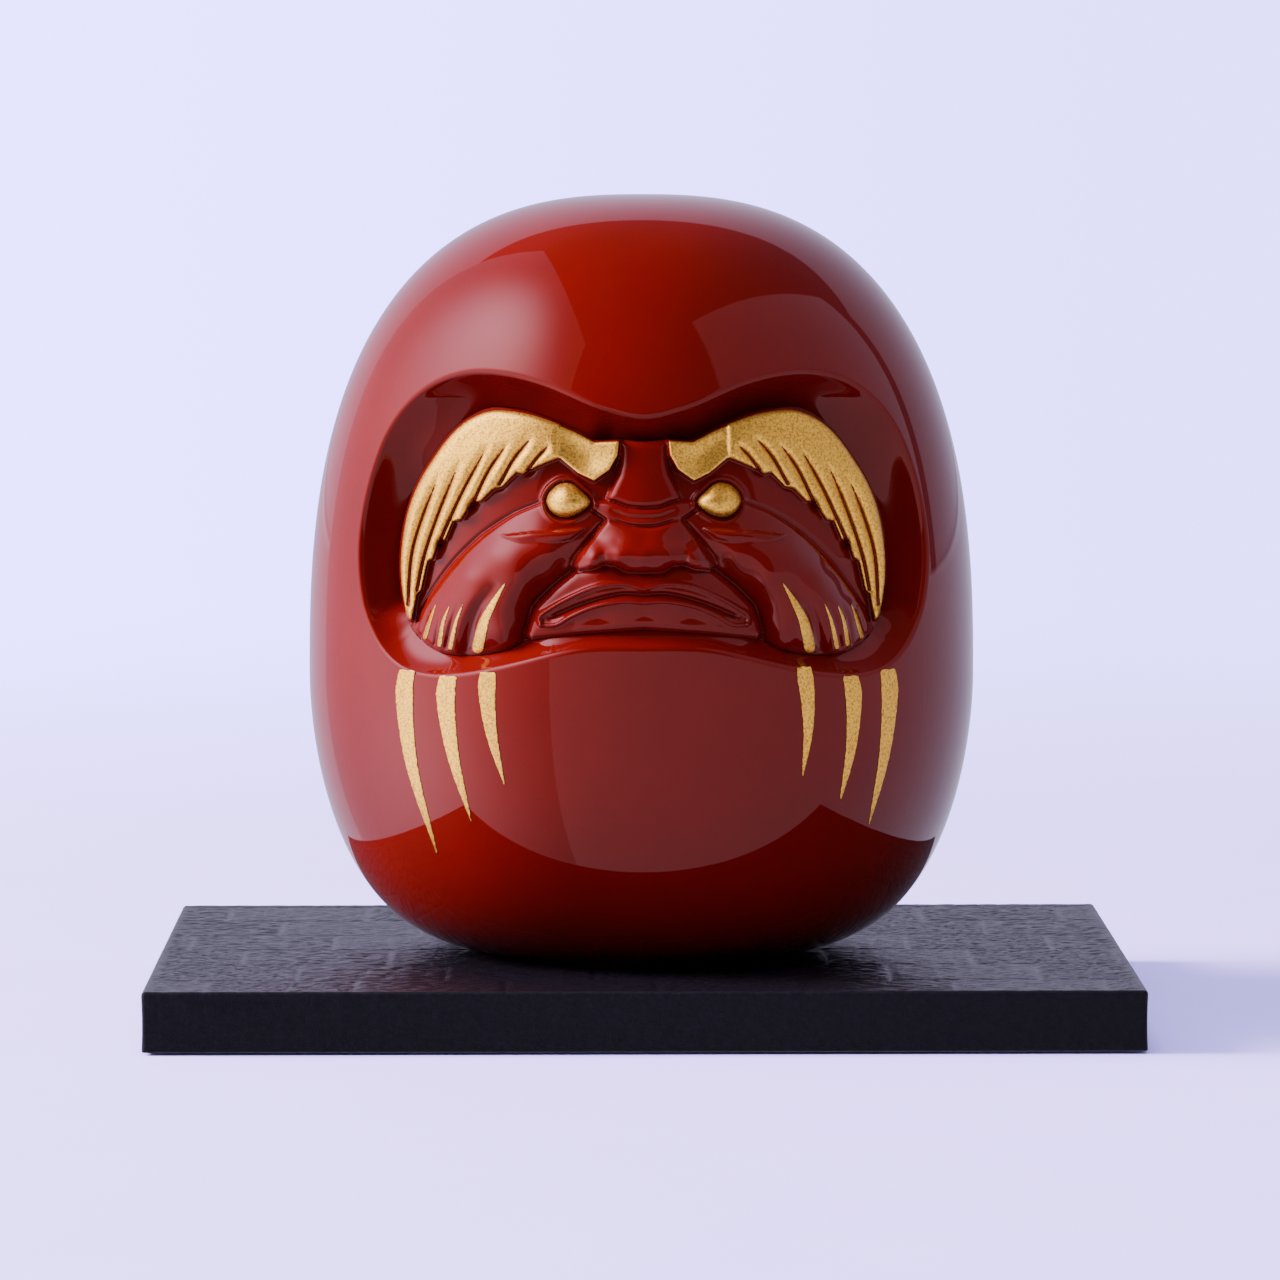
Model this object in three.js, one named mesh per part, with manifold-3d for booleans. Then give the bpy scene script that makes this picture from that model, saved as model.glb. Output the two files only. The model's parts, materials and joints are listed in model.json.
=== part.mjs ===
// Daruma doll on its display board, in millimetres, +Z up, front towards -Y.
// The origin is at the centre of the board's underside.
import * as THREE from 'three';
import { mergeVertices } from 'three/addons/utils/BufferGeometryUtils.js';
import Module from 'manifold-3d';

const wasm = await Module();
wasm.setup();

// ---- Display board: a panel wrapped in embossed paper, with a backing sheet underneath ----

const BOARD_WIDTH = 180;
const BOARD_DEPTH = 140;
const BOARD_TOP = 11.5;
const PAPER = 0.5;
const TURN_IN = 12;
const SHEET_MARGIN = 4;

// ---- Body of the doll: a body of revolution whose outline is two superellipse arcs ----

const BODY_RADIUS = 62.2;
const WIDEST_Z = 63.3;
const UPPER_HEIGHT = 89.3;
const UPPER_POWER_R = 2.61;
const UPPER_POWER_Z = 2.55;
const LOWER_HEIGHT = 52.8;
const LOWER_POWER_R = 4.71;
const LOWER_POWER_Z = 1.81;
const WALL = 4;
const FOOT_Z = 12;
const CAVITY_FLOOR_Z = 17;

// ---- Foot: a counterbore holds the base plate, and a narrower hole passes the ballast ----

const BORE_RADIUS = 25;
const BORE_TOP_Z = 14;
const HOLE_RADIUS = 20.5;
const PLATE_BOTTOM_Z = 12.5;
const BALLAST_RADIUS = 20;
const BALLAST_TOP_Z = 32;
const FELT_RADIUS = 24;
const SCREW_COUNT = 3;
const SCREW_CIRCLE = 12;
const SCREW_HEAD_RADIUS = 2.6;
const SCREW_HEAD_TOP_Z = 13.25;
const SCREW_RADIUS = 1.5;
const SCREW_TIP_Z = 22;

// ---- Face: a pocket with sloping walls, and a carved relief that stands on its floor ----

// Clearance between a cut face and the piece that sits against it.
const GAP = 0.3;
const POCKET_DEPTH = 8;
const RIM_STEP = 0.6;
const SEAT_STEP = 1;
const GOLD_THICKNESS = 0.5;
const POCKET_CELL = 3.8;
const RELIEF_CELL = 2.4;
const FAR_FRONT = -80;
const DEEP_Y = 5;

// Outlines are (x, z) points on the doll's left or right half, mirrored where they are used.
const RIM = [
  [0, 72.2], [14.2, 69.6], [25.3, 67.8], [36.4, 66.2], [43.5, 68.1], [49, 75], [51.4, 90.3],
  [49, 103], [44, 110.5], [36.4, 118], [27.4, 121.3], [18.3, 119.4], [7.6, 115.2], [0, 113.4],
];
const FACE_EDGE = [
  [0, 73.8], [14.2, 73.3], [25.3, 71.1], [31.4, 70.3], [38.4, 71.8], [42, 74.9], [43.7, 80], [43.9, 86.1],
  [42.5, 95.2], [38.4, 102.8], [32.9, 109.8], [25.9, 113.3], [18.3, 112.5], [11.2, 110.2], [5.1, 108.9], [0, 108.8],
];
const BROW_EDGE = [
  [4.1, 108.1], [8.1, 107.6], [11.7, 108.5], [14.2, 110.2], [18.3, 111.6], [25.3, 112.2], [31.9, 108.9],
  [37.4, 101.9], [41.3, 94.8], [42.7, 86.1], [42.5, 80], [41.1, 75.9], [38.4, 81.5], [34.4, 87.5],
  [28.9, 94.6], [25.3, 100.1], [19.8, 103.6], [15.2, 105.7], [13.2, 103.6], [10.7, 102.1], [7.6, 102], [5.1, 104.6],
];
// Gold strokes: x and z of the square end, x and z of the point, and the width near the square end.
const CHEEK_STROKES = [
  [39.7, 72.9, 37.4, 79.7, 1.3],
  [37, 71.8, 34.8, 79.8, 1.3],
  [34.8, 71.4, 32.4, 80.1, 1.3],
  [29.9, 71.8, 24.9, 83.7, 2.3],
];
const WHISKERS = {
  left: [
    [-42.4, 67.2, -37, 33.1, 3.2],
    [-34.8, 66.6, -30.7, 40.2, 3.4],
    [-27.4, 67.6, -24.5, 47.3, 3.1],
  ],
  right: [
    [29.4, 68.5, 29.3, 48.4, 2.8],
    [38.2, 66.4, 36.2, 43.3, 3],
    [45, 67.2, 41.6, 38.5, 3.1],
  ],
};
// Rounded swellings of the carved face: centre x and z, half-width, half-height, rise.
const SWELLINGS = [
  [0, 103, 4.5, 9, 1.4],
  [0, 90.9, 5.5, 6, 4.2],
  [-8.1, 87.8, 3.6, 3, 2.6],
  [8.1, 87.8, 3.6, 3, 2.6],
  [-27.4, 84.9, 9, 11, 2],
  [27.4, 84.9, 9, 11, 2],
  [-22.3, 76.7, 5, 5, 1.5],
  [22.3, 76.7, 5, 5, 1.5],
  [0, 78.7, 15, 4.5, 2.6],
  [-27.4, 103.2, 11, 7, 1.6],
  [27.4, 103.2, 11, 7, 1.6],
  [-10.2, 105.1, 4.5, 3, 1.2],
  [10.2, 105.1, 4.5, 3, 1.2],
];
// Hollows of the carved face, in the same form with the depth last.
const HOLLOWS = [
  [-12.2, 98.7, 6, 4, 1.8],
  [12.2, 98.7, 6, 4, 1.8],
  [-17.3, 84.8, 3, 8, 1.4],
  [17.3, 84.8, 3, 8, 1.4],
];
const RELIEF_TOP = 3.2;
const RELIEF_EDGE_DROP = 3.4;
const RELIEF_EDGE_WIDTH = 4;

const EYE = { x: 13.5, z: 98.5, halfWidth: 4.5, halfHeight: 3.1, halfDepth: 2.6, depth: 4.6 };
const MOUTH = { halfWidth: 17.6, cornerZ: 77.2, middleZ: 82, lipRadius: 1.1, lipSpacing: 2.6 };

// ---- Looks ----

const LACQUER = { color: 0x8c1508, roughness: 0.08, metalness: 0 };
const GOLD = { color: 0xb98b3c, roughness: 0.38, metalness: 0.9 };
const EMBOSSED_PAPER = { color: 0x17171a, roughness: 0.5, metalness: 0 };
const FIBREBOARD = { color: 0x8a6a48, roughness: 0.9, metalness: 0 };
const BACKING_PAPER = { color: 0x2a2a2c, roughness: 0.9, metalness: 0 };
const MOULDED_PLATE = { color: 0x202022, roughness: 0.6, metalness: 0 };
const IRON = { color: 0x4a4a4c, roughness: 0.6, metalness: 1 };
const STEEL = { color: 0xb8b8ba, roughness: 0.3, metalness: 1 };
const FELT = { color: 0x1c1c1e, roughness: 1, metalness: 0 };

// ---- Geometry helpers ----

const model = new THREE.Group();
export default model;

function addNode(name, geometry, look) {
  const mesh = new THREE.Mesh(geometry, new THREE.MeshStandardMaterial(look));
  mesh.name = name;
  model.add(mesh);
}

// A closed three.js geometry as a manifold solid.
function toSolid(geometry) {
  const bare = geometry.clone();
  bare.deleteAttribute('normal');
  bare.deleteAttribute('uv');
  const merged = mergeVertices(bare, 1e-4);
  const triangles = [];
  for (let i = 0; i < merged.index.count; i += 3) {
    const corners = [0, 1, 2].map((k) => merged.index.getX(i + k));
    if (new Set(corners).size === 3) triangles.push(...corners);
  }
  const mesh = new wasm.Mesh({
    numProp: 3,
    vertProperties: new Float32Array(merged.attributes.position.array),
    triVerts: new Uint32Array(triangles),
  });
  return new wasm.Manifold(mesh);
}

function toGeometry(solid) {
  const mesh = solid.getMesh();
  const geometry = new THREE.BufferGeometry();
  geometry.setAttribute('position', new THREE.BufferAttribute(mesh.vertProperties, 3));
  geometry.setIndex(new THREE.BufferAttribute(mesh.triVerts, 1));
  geometry.computeVertexNormals();
  return geometry;
}

function boxSolid(width, depth, bottom, top) {
  const geometry = new THREE.BoxGeometry(width, depth, top - bottom);
  geometry.translate(0, 0, (top + bottom) / 2);
  return toSolid(geometry);
}

// A solid of revolution about Z from (radius, z) points that run upwards.
function turnedSolid(points, segments) {
  const profile = points.map(([radius, z]) => new THREE.Vector2(radius, z));
  const geometry = new THREE.LatheGeometry(profile, segments);
  geometry.rotateX(Math.PI / 2);
  return toSolid(geometry);
}

function discSolid(radius, bottom, top, segments) {
  return turnedSolid([[0, bottom], [radius, bottom], [radius, top], [0, top]], segments);
}

function discAt(x, y, radius, bottom, top) {
  return discSolid(radius, bottom, top, 16).translate([x, y, 0]);
}

// A smooth closed loop of evenly spaced (x, z) points through the given ones.
function smoothLoop(points, count) {
  const corners = points.map(([x, z]) => new THREE.Vector3(x, z, 0));
  const curve = new THREE.CatmullRomCurve3(corners, true, 'centripetal');
  return curve.getSpacedPoints(count).slice(0, count).map((p) => [p.x, p.y]);
}

// The loop made of a right half, which starts and ends on x = 0, and its mirror image.
function mirroredLoop(half, count) {
  const leftHalf = half.slice(1, -1).reverse().map(([x, z]) => [-x, z]);
  return smoothLoop([...half, ...leftHalf], count);
}

// A prism with the loop as its front view, running between two y values.
function prism(loop, front, back) {
  const shape = new THREE.Shape(loop.map(([x, z]) => new THREE.Vector2(x, z)));
  const geometry = new THREE.ExtrudeGeometry(shape, { depth: back - front, bevelEnabled: false });
  geometry.rotateX(Math.PI / 2);
  geometry.translate(0, back, 0);
  return toSolid(geometry);
}

// A block over a rectangle of the front view, whose front face follows a y(x, z) surface.
// Its grid lines are multiples of the cell, so that blocks with one cell size share them.
function sculptedBlock(bounds, cell, frontAt, back) {
  const left = Math.floor(bounds.left / cell);
  const right = Math.ceil(bounds.right / cell);
  const bottom = Math.floor(bounds.bottom / cell);
  const top = Math.ceil(bounds.top / cell);
  const columns = right - left;
  const rows = top - bottom;
  const geometry = new THREE.BoxGeometry(columns * cell, 1, rows * cell, columns, 1, rows);
  geometry.translate(((left + right) / 2) * cell, 0, ((bottom + top) / 2) * cell);
  const position = geometry.attributes.position;
  for (let i = 0; i < position.count; i += 1) {
    const isFront = position.getY(i) < 0;
    position.setY(i, isFront ? frontAt(position.getX(i), position.getZ(i)) : back);
  }
  return toSolid(geometry);
}

// The loop moved inwards, along the bisector at each point.
function shrunkLoop(loop, distance) {
  return loop.map(([x, z], i) => {
    const [ax, az] = loop.at(i - 1);
    const [bx, bz] = loop[(i + 1) % loop.length];
    const length = Math.hypot(bx - ax, bz - az);
    return [x - (distance * (bz - az)) / length, z + (distance * (bx - ax)) / length];
  });
}

function boundsOf(loop, margin) {
  const xs = loop.map(([x]) => x);
  const zs = loop.map(([, z]) => z);
  return {
    left: Math.min(...xs) - margin,
    right: Math.max(...xs) + margin,
    bottom: Math.min(...zs) - margin,
    top: Math.max(...zs) + margin,
  };
}

function distanceToLoop(loop, x, z) {
  let nearest = Infinity;
  for (let i = 0; i < loop.length; i += 1) {
    const [ax, az] = loop[i];
    const [bx, bz] = loop[(i + 1) % loop.length];
    const along = (x - ax) * (bx - ax) + (z - az) * (bz - az);
    const t = THREE.MathUtils.clamp(along / ((bx - ax) ** 2 + (bz - az) ** 2), 0, 1);
    nearest = Math.min(nearest, Math.hypot(x - ax - t * (bx - ax), z - az - t * (bz - az)));
  }
  return nearest;
}

function isInside(loop, x, z) {
  let inside = false;
  for (let i = 0; i < loop.length; i += 1) {
    const [ax, az] = loop[i];
    const [bx, bz] = loop[(i + 1) % loop.length];
    if (az > z !== bz > z && x < ax + ((z - az) / (bz - az)) * (bx - ax)) inside = !inside;
  }
  return inside;
}

// ---- Body surface ----

// Radius of the body's outer surface at a height.
function bodyRadius(z) {
  if (z >= WIDEST_Z) {
    const rise = Math.min((z - WIDEST_Z) / UPPER_HEIGHT, 1);
    return BODY_RADIUS * (1 - rise ** UPPER_POWER_Z) ** (1 / UPPER_POWER_R);
  }
  const drop = Math.min((WIDEST_Z - z) / LOWER_HEIGHT, 1);
  return BODY_RADIUS * (1 - drop ** LOWER_POWER_Z) ** (1 / LOWER_POWER_R);
}

// The y of a surface in front, a given depth inside the body's surface.
function frontY(x, z, depth) {
  const radius = bodyRadius(z) - depth;
  return -Math.sqrt(Math.max(radius ** 2 - x ** 2, 25));
}

// Outline points above a lowest height, closely spaced where the surface bends.
function bodyOutline(lowestZ, count) {
  const points = [];
  for (let i = -count; i < count; i += 1) {
    const bend = Math.sin((Math.abs(i) / count) * (Math.PI / 2));
    const z = i < 0
      ? WIDEST_Z - LOWER_HEIGHT * bend ** (2 / LOWER_POWER_Z)
      : WIDEST_Z + UPPER_HEIGHT * bend ** (2 / UPPER_POWER_Z);
    if (z > lowestZ) points.push([bodyRadius(z), z]);
  }
  return points;
}

// The outline moved a wall's thickness inwards along its normals.
function insetOutline(points, inset) {
  return points.slice(1, -1).map(([r, z], i) => {
    const [r0, z0] = points[i];
    const [r1, z1] = points[i + 2];
    const length = Math.hypot(r1 - r0, z1 - z0);
    return [r - (inset * (z1 - z0)) / length, z + (inset * (r1 - r0)) / length];
  });
}

// ---- Pocket and relief surfaces ----

const rimLoop = mirroredLoop(RIM, 60);
const faceLoop = mirroredLoop(FACE_EDGE, 52);

// How far a point lies down the pocket's wall: 0 at the rim, 1 on the floor.
function wallProgress(x, z) {
  if (isInside(faceLoop, x, z)) return 1;
  if (!isInside(rimLoop, x, z)) return 0;
  const fromRim = distanceToLoop(rimLoop, x, z);
  return fromRim / (fromRim + distanceToLoop(faceLoop, x, z));
}

// Depth of the pocket's wall, which ends a step above the floor that the face stands on.
function wallDepth(x, z) {
  return RIM_STEP + (POCKET_DEPTH - SEAT_STEP - RIM_STEP) * wallProgress(x, z);
}

function bump([cx, cz, halfWidth, halfHeight, size], x, z) {
  return size * Math.exp(-(((x - cx) / halfWidth) ** 2) - ((z - cz) / halfHeight) ** 2);
}

// Depth of the carved face below the body's surface.
function reliefDepth(x, z) {
  const inwards = isInside(faceLoop, x, z) ? distanceToLoop(faceLoop, x, z) : 0;
  const edge = Math.min(inwards / RELIEF_EDGE_WIDTH, 1);
  const roll = 1 - Math.sqrt(1 - (1 - edge) ** 2);
  const raised = SWELLINGS.reduce((sum, swelling) => sum + bump(swelling, x, z), 0);
  const sunk = HOLLOWS.reduce((sum, hollow) => sum + bump(hollow, x, z), 0);
  return RELIEF_TOP + RELIEF_EDGE_DROP * roll + (sunk - raised) * edge;
}

// ---- Display board ----

function makeBoard() {
  const innerWidth = BOARD_WIDTH - 2 * PAPER;
  const innerDepth = BOARD_DEPTH - 2 * PAPER;
  const core = boxSolid(innerWidth, innerDepth, 2 * PAPER, BOARD_TOP - PAPER);
  const window = boxSolid(BOARD_WIDTH - 2 * TURN_IN, BOARD_DEPTH - 2 * TURN_IN, 0, 3 * PAPER);
  const wrap = boxSolid(BOARD_WIDTH, BOARD_DEPTH, PAPER, BOARD_TOP).subtract(core).subtract(window);
  const sheetWidth = BOARD_WIDTH - 2 * SHEET_MARGIN;
  const sheetDepth = BOARD_DEPTH - 2 * SHEET_MARGIN;
  addNode('board_core', toGeometry(core), FIBREBOARD);
  addNode('board_wrap', toGeometry(wrap), EMBOSSED_PAPER);
  addNode('underside_sheet', toGeometry(boxSolid(sheetWidth, sheetDepth, 0, PAPER)), BACKING_PAPER);
}

// ---- Doll ----

// The solid inside a surface that lies a given depth below the body's surface.
function innerBody(depth, segments) {
  const lowest = CAVITY_FLOOR_Z;
  const inset = insetOutline(bodyOutline(lowest - depth, 10), depth).filter(([, z]) => z > lowest);
  const [firstRadius] = inset[0];
  const crown = WIDEST_Z + UPPER_HEIGHT - depth;
  return turnedSolid([[0, lowest], [firstRadius - 2, lowest], ...inset, [0, crown]], segments);
}

function makeShell() {
  const footRadius = bodyRadius(FOOT_Z);
  const crown = WIDEST_Z + UPPER_HEIGHT;
  const outline = bodyOutline(FOOT_Z + 0.5, 15);
  const outer = turnedSolid([[0, FOOT_Z], [footRadius, FOOT_Z], ...outline, [0, crown]], 60);

  const slope = (x, z) => frontY(x, z, wallDepth(x, z));
  const walls = prism(rimLoop, FAR_FRONT, 0)
    .subtract(sculptedBlock(boundsOf(rimLoop, 1), POCKET_CELL, slope, DEEP_Y));
  const seat = prism(faceLoop, FAR_FRONT, 0).subtract(innerBody(POCKET_DEPTH, 48));
  const backing = prism(shrunkLoop(rimLoop, -WALL), FAR_FRONT, 0)
    .subtract(innerBody(POCKET_DEPTH + WALL, 32));
  const cavity = innerBody(WALL, 32).subtract(backing);

  const foot = discSolid(BORE_RADIUS, FOOT_Z - 1, BORE_TOP_Z, 32)
    .add(discSolid(HOLE_RADIUS, FOOT_Z, CAVITY_FLOOR_Z + 1, 32));
  const shell = outer.subtract(cavity).subtract(walls).subtract(seat).subtract(foot);
  addNode('lacquer_shell', toGeometry(shell), LACQUER);
}

// A swept lip that follows the frown of the mouth at a given height above it.
function lipSolid(rise) {
  const { halfWidth, cornerZ, middleZ, lipRadius } = MOUTH;
  const points = [-1, -0.75, -0.4, 0, 0.4, 0.75, 1].map((s) => {
    const x = s * halfWidth;
    const z = middleZ + rise - (middleZ + rise - cornerZ) * s ** 2;
    return new THREE.Vector3(x, frontY(x, z, reliefDepth(x, z)), z);
  });
  const section = new THREE.Shape();
  section.absarc(0, 0, lipRadius, 0, 2 * Math.PI);
  const path = new THREE.CatmullRomCurve3(points);
  return toSolid(new THREE.ExtrudeGeometry(section, { steps: 18, curveSegments: 4, extrudePath: path }));
}

// A block that fills the space behind a surface at depthAt(x, z) inside the body's surface.
function behindSurface(bounds, depthAt) {
  return sculptedBlock(bounds, RELIEF_CELL, (x, z) => frontY(x, z, depthAt(x, z)), DEEP_Y);
}

function makeFace() {
  const relief = prism(shrunkLoop(faceLoop, GAP), FAR_FRONT, 0)
    .intersect(behindSurface(boundsOf(faceLoop, 1), reliefDepth))
    .subtract(innerBody(POCKET_DEPTH - GAP, 48));
  const lips = lipSolid(0).add(lipSolid(-MOUTH.lipSpacing));
  addNode('face_relief', toGeometry(relief.add(lips)), LACQUER);
}

// A thin layer of gold over a patch of a surface whose depth is depthAt(x, z).
function goldLayer(loop, depthAt) {
  const bounds = boundsOf(loop, 0.5);
  return prism(loop, FAR_FRONT, 0)
    .intersect(behindSurface(bounds, (x, z) => depthAt(x, z) - GAP - GOLD_THICKNESS))
    .subtract(behindSurface(bounds, (x, z) => depthAt(x, z) - GAP));
}

function makeBrows() {
  for (const [side, sign] of [['left', -1], ['right', 1]]) {
    const loop = smoothLoop(BROW_EDGE.map(([x, z]) => [sign * x, z]), 56);
    addNode(`brow_${side}`, toGeometry(goldLayer(loop, reliefDepth)), GOLD);
  }
}

function makeEyes() {
  for (const [side, sign] of [['left', -1], ['right', 1]]) {
    const x = sign * EYE.x;
    const bead = new THREE.SphereGeometry(1, 20, 14);
    bead.scale(EYE.halfWidth, EYE.halfDepth, EYE.halfHeight);
    bead.translate(x, frontY(x, EYE.z, EYE.depth), EYE.z);
    const bounds = { left: x - 6, right: x + 6, bottom: EYE.z - 5, top: EYE.z + 5 };
    const socket = behindSurface(bounds, (px, pz) => reliefDepth(px, pz) - GAP);
    addNode(`eye_${side}`, toGeometry(toSolid(bead).subtract(socket)), GOLD);
  }
}

// Front view of a brush stroke: square at one end, widest just beyond it, ending in a point.
function strokeLoop([startX, startZ, tipX, tipZ, width]) {
  const half = width / 2;
  const widths = [[0, 0.85], [0.12, 1], [0.4, 0.72], [0.7, 0.38], [1, 0.06]];
  const edge = (sign) => widths.map(([t, share]) => {
    const x = startX + (tipX - startX) * t ** 2;
    return [x + sign * half * share, startZ + (tipZ - startZ) * t];
  });
  return [...edge(-1), ...edge(1).reverse()];
}

function makeStrokes() {
  for (const [side, sign] of [['left', -1], ['right', 1]]) {
    CHEEK_STROKES.forEach(([startX, startZ, tipX, tipZ, width], i) => {
      const loop = strokeLoop([sign * startX, startZ, sign * tipX, tipZ, width]);
      const layer = goldLayer(loop, reliefDepth);
      addNode(`cheek_stroke_${side}_${i + 1}`, toGeometry(layer), GOLD);
    });
    WHISKERS[side].forEach((stroke, i) => {
      const layer = goldLayer(strokeLoop(stroke), () => 0);
      addNode(`whisker_${side}_${i + 1}`, toGeometry(layer), GOLD);
    });
  }
}

function makeFoot() {
  let plate = discSolid(BORE_RADIUS - GAP, PLATE_BOTTOM_Z, BORE_TOP_Z, 32);
  let ballast = discSolid(BALLAST_RADIUS, BORE_TOP_Z, BALLAST_TOP_Z, 32);
  for (let i = 0; i < SCREW_COUNT; i += 1) {
    const angle = Math.PI / 2 + (i * 2 * Math.PI) / SCREW_COUNT;
    const x = SCREW_CIRCLE * Math.cos(angle);
    const y = SCREW_CIRCLE * Math.sin(angle);
    const recess = discAt(x, y, SCREW_HEAD_RADIUS + GAP, PLATE_BOTTOM_Z - 1, SCREW_HEAD_TOP_Z + GAP);
    const hole = discAt(x, y, SCREW_RADIUS + GAP, PLATE_BOTTOM_Z, SCREW_TIP_Z + GAP);
    plate = plate.subtract(recess).subtract(hole);
    ballast = ballast.subtract(hole);
    const head = discAt(x, y, SCREW_HEAD_RADIUS, PLATE_BOTTOM_Z, SCREW_HEAD_TOP_Z);
    const shank = discAt(x, y, SCREW_RADIUS, PLATE_BOTTOM_Z + GAP, SCREW_TIP_Z);
    addNode(`ballast_screw_${i + 1}`, toGeometry(head.add(shank)), STEEL);
  }
  addNode('base_plate', toGeometry(plate), MOULDED_PLATE);
  addNode('ballast_disc', toGeometry(ballast), IRON);
  addNode('felt_pad', toGeometry(discSolid(FELT_RADIUS, BOARD_TOP, PLATE_BOTTOM_Z, 32)), FELT);
}

makeBoard();
makeShell();
makeFace();
makeBrows();
makeEyes();
makeStrokes();
makeFoot();
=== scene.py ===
"""Looks of the daruma doll and its display board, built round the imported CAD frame.

Everything is in metres, in the frame's own axes: +Z up, the doll faces -Y.
"""

import json
import math

import bpy
import numpy as np
from mathutils import Euler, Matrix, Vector
from mathutils.geometry import delaunay_2d_cdt

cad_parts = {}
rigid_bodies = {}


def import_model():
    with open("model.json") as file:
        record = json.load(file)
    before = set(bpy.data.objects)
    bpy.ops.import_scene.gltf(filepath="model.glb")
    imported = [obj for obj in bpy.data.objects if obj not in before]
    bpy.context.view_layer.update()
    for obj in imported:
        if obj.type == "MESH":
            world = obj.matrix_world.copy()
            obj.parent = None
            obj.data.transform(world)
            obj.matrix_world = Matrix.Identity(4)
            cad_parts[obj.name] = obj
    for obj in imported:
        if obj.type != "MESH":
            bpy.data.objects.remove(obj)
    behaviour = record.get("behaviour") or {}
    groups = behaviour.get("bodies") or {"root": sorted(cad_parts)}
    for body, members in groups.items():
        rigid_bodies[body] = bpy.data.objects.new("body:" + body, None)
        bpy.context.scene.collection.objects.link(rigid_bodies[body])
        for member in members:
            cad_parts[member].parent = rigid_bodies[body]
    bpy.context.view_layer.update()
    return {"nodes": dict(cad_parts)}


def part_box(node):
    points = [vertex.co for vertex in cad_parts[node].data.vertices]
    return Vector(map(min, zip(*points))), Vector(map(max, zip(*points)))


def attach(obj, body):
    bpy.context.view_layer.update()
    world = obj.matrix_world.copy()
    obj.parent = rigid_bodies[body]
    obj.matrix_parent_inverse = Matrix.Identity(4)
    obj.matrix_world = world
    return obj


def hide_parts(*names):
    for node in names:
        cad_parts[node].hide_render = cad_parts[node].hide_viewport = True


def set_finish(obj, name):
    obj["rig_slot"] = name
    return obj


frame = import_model()

MM = 0.001


def mm(values):
    """Millimetres as an array of metres."""
    return np.array(values, dtype=float) * MM


# ---- Sizes taken from the frame ----

SHELL_LOW, SHELL_HIGH = (Vector(corner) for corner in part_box("lacquer_shell"))
BOARD_LOW, BOARD_HIGH = (Vector(corner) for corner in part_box("board_wrap"))
BODY_RADIUS = (SHELL_HIGH.x - SHELL_LOW.x) / 2
CROWN_Z = SHELL_HIGH.z
FOOT_Z = SHELL_LOW.z

# ---- Body outline: two superellipse arcs that meet at the widest height ----

WIDEST_Z = 63.3 * MM
UPPER_HEIGHT = CROWN_Z - WIDEST_Z
UPPER_POWER_R = 2.61
UPPER_POWER_Z = 2.55
LOWER_HEIGHT = 52.8 * MM
LOWER_POWER_R = 4.71
LOWER_POWER_Z = 1.81

# ---- Pocket and carved face: outlines are the right half, as (x, z) ----

RIM = mm([
    (0, 72.2), (10.8, 72), (19.1, 70.2), (26.4, 68.3), (32.8, 66.9), (38.9, 66.3), (43.5, 67.2),
    (46.8, 69.5), (49.7, 74), (51.4, 80.2), (52, 87.5), (51.2, 95.4), (49.3, 103.3), (46.5, 110.3),
    (42.5, 115.6), (37.4, 119.3), (31.4, 121.1), (25.3, 121), (18.3, 119.4), (7.6, 115.2), (0, 113.5),
])
FACE_EDGE = mm([
    (0, 75.2), (9.1, 74.6), (18.3, 73.6), (21.1, 73), (23.9, 71.5), (27.4, 70.5), (32.8, 69.8),
    (37, 70.3), (40.1, 71.9), (42.5, 74.7), (43.9, 79.2), (44.5, 85.1), (44.2, 90.2), (43, 96.1),
    (41, 101.2), (38.1, 105.9), (35, 110), (31.4, 113), (27.4, 114.7), (23.7, 114.6), (19.7, 113.9),
    (15.2, 112.2), (12.4, 110.9), (8.9, 109.2), (4.5, 109.3), (0, 108.9),
])
POCKET_DEPTH = 8 * MM
WALL_SLOPE = 1.5
RIM_RADIUS = 1.3 * MM
NEAREST_AXIS = 5 * MM


def body_radius(z):
    """Radius of the body's outer surface at heights z."""
    z = np.asarray(z, dtype=float)
    rise = np.clip((z - WIDEST_Z) / UPPER_HEIGHT, 0, 1)
    drop = np.clip((WIDEST_Z - z) / LOWER_HEIGHT, 0, 1)
    upper = (1 - rise ** UPPER_POWER_Z) ** (1 / UPPER_POWER_R)
    lower = (1 - drop ** LOWER_POWER_Z) ** (1 / LOWER_POWER_R)
    return BODY_RADIUS * np.where(z >= WIDEST_Z, upper, lower)


def front_y(x, z, depth):
    """The y of a surface that lies depth inside the body's surface, seen from the front."""
    radius = body_radius(z) - depth
    return -np.sqrt(np.maximum(radius ** 2 - np.asarray(x) ** 2, NEAREST_AXIS ** 2))


# ---- Curves and fields in the front view ----

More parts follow.
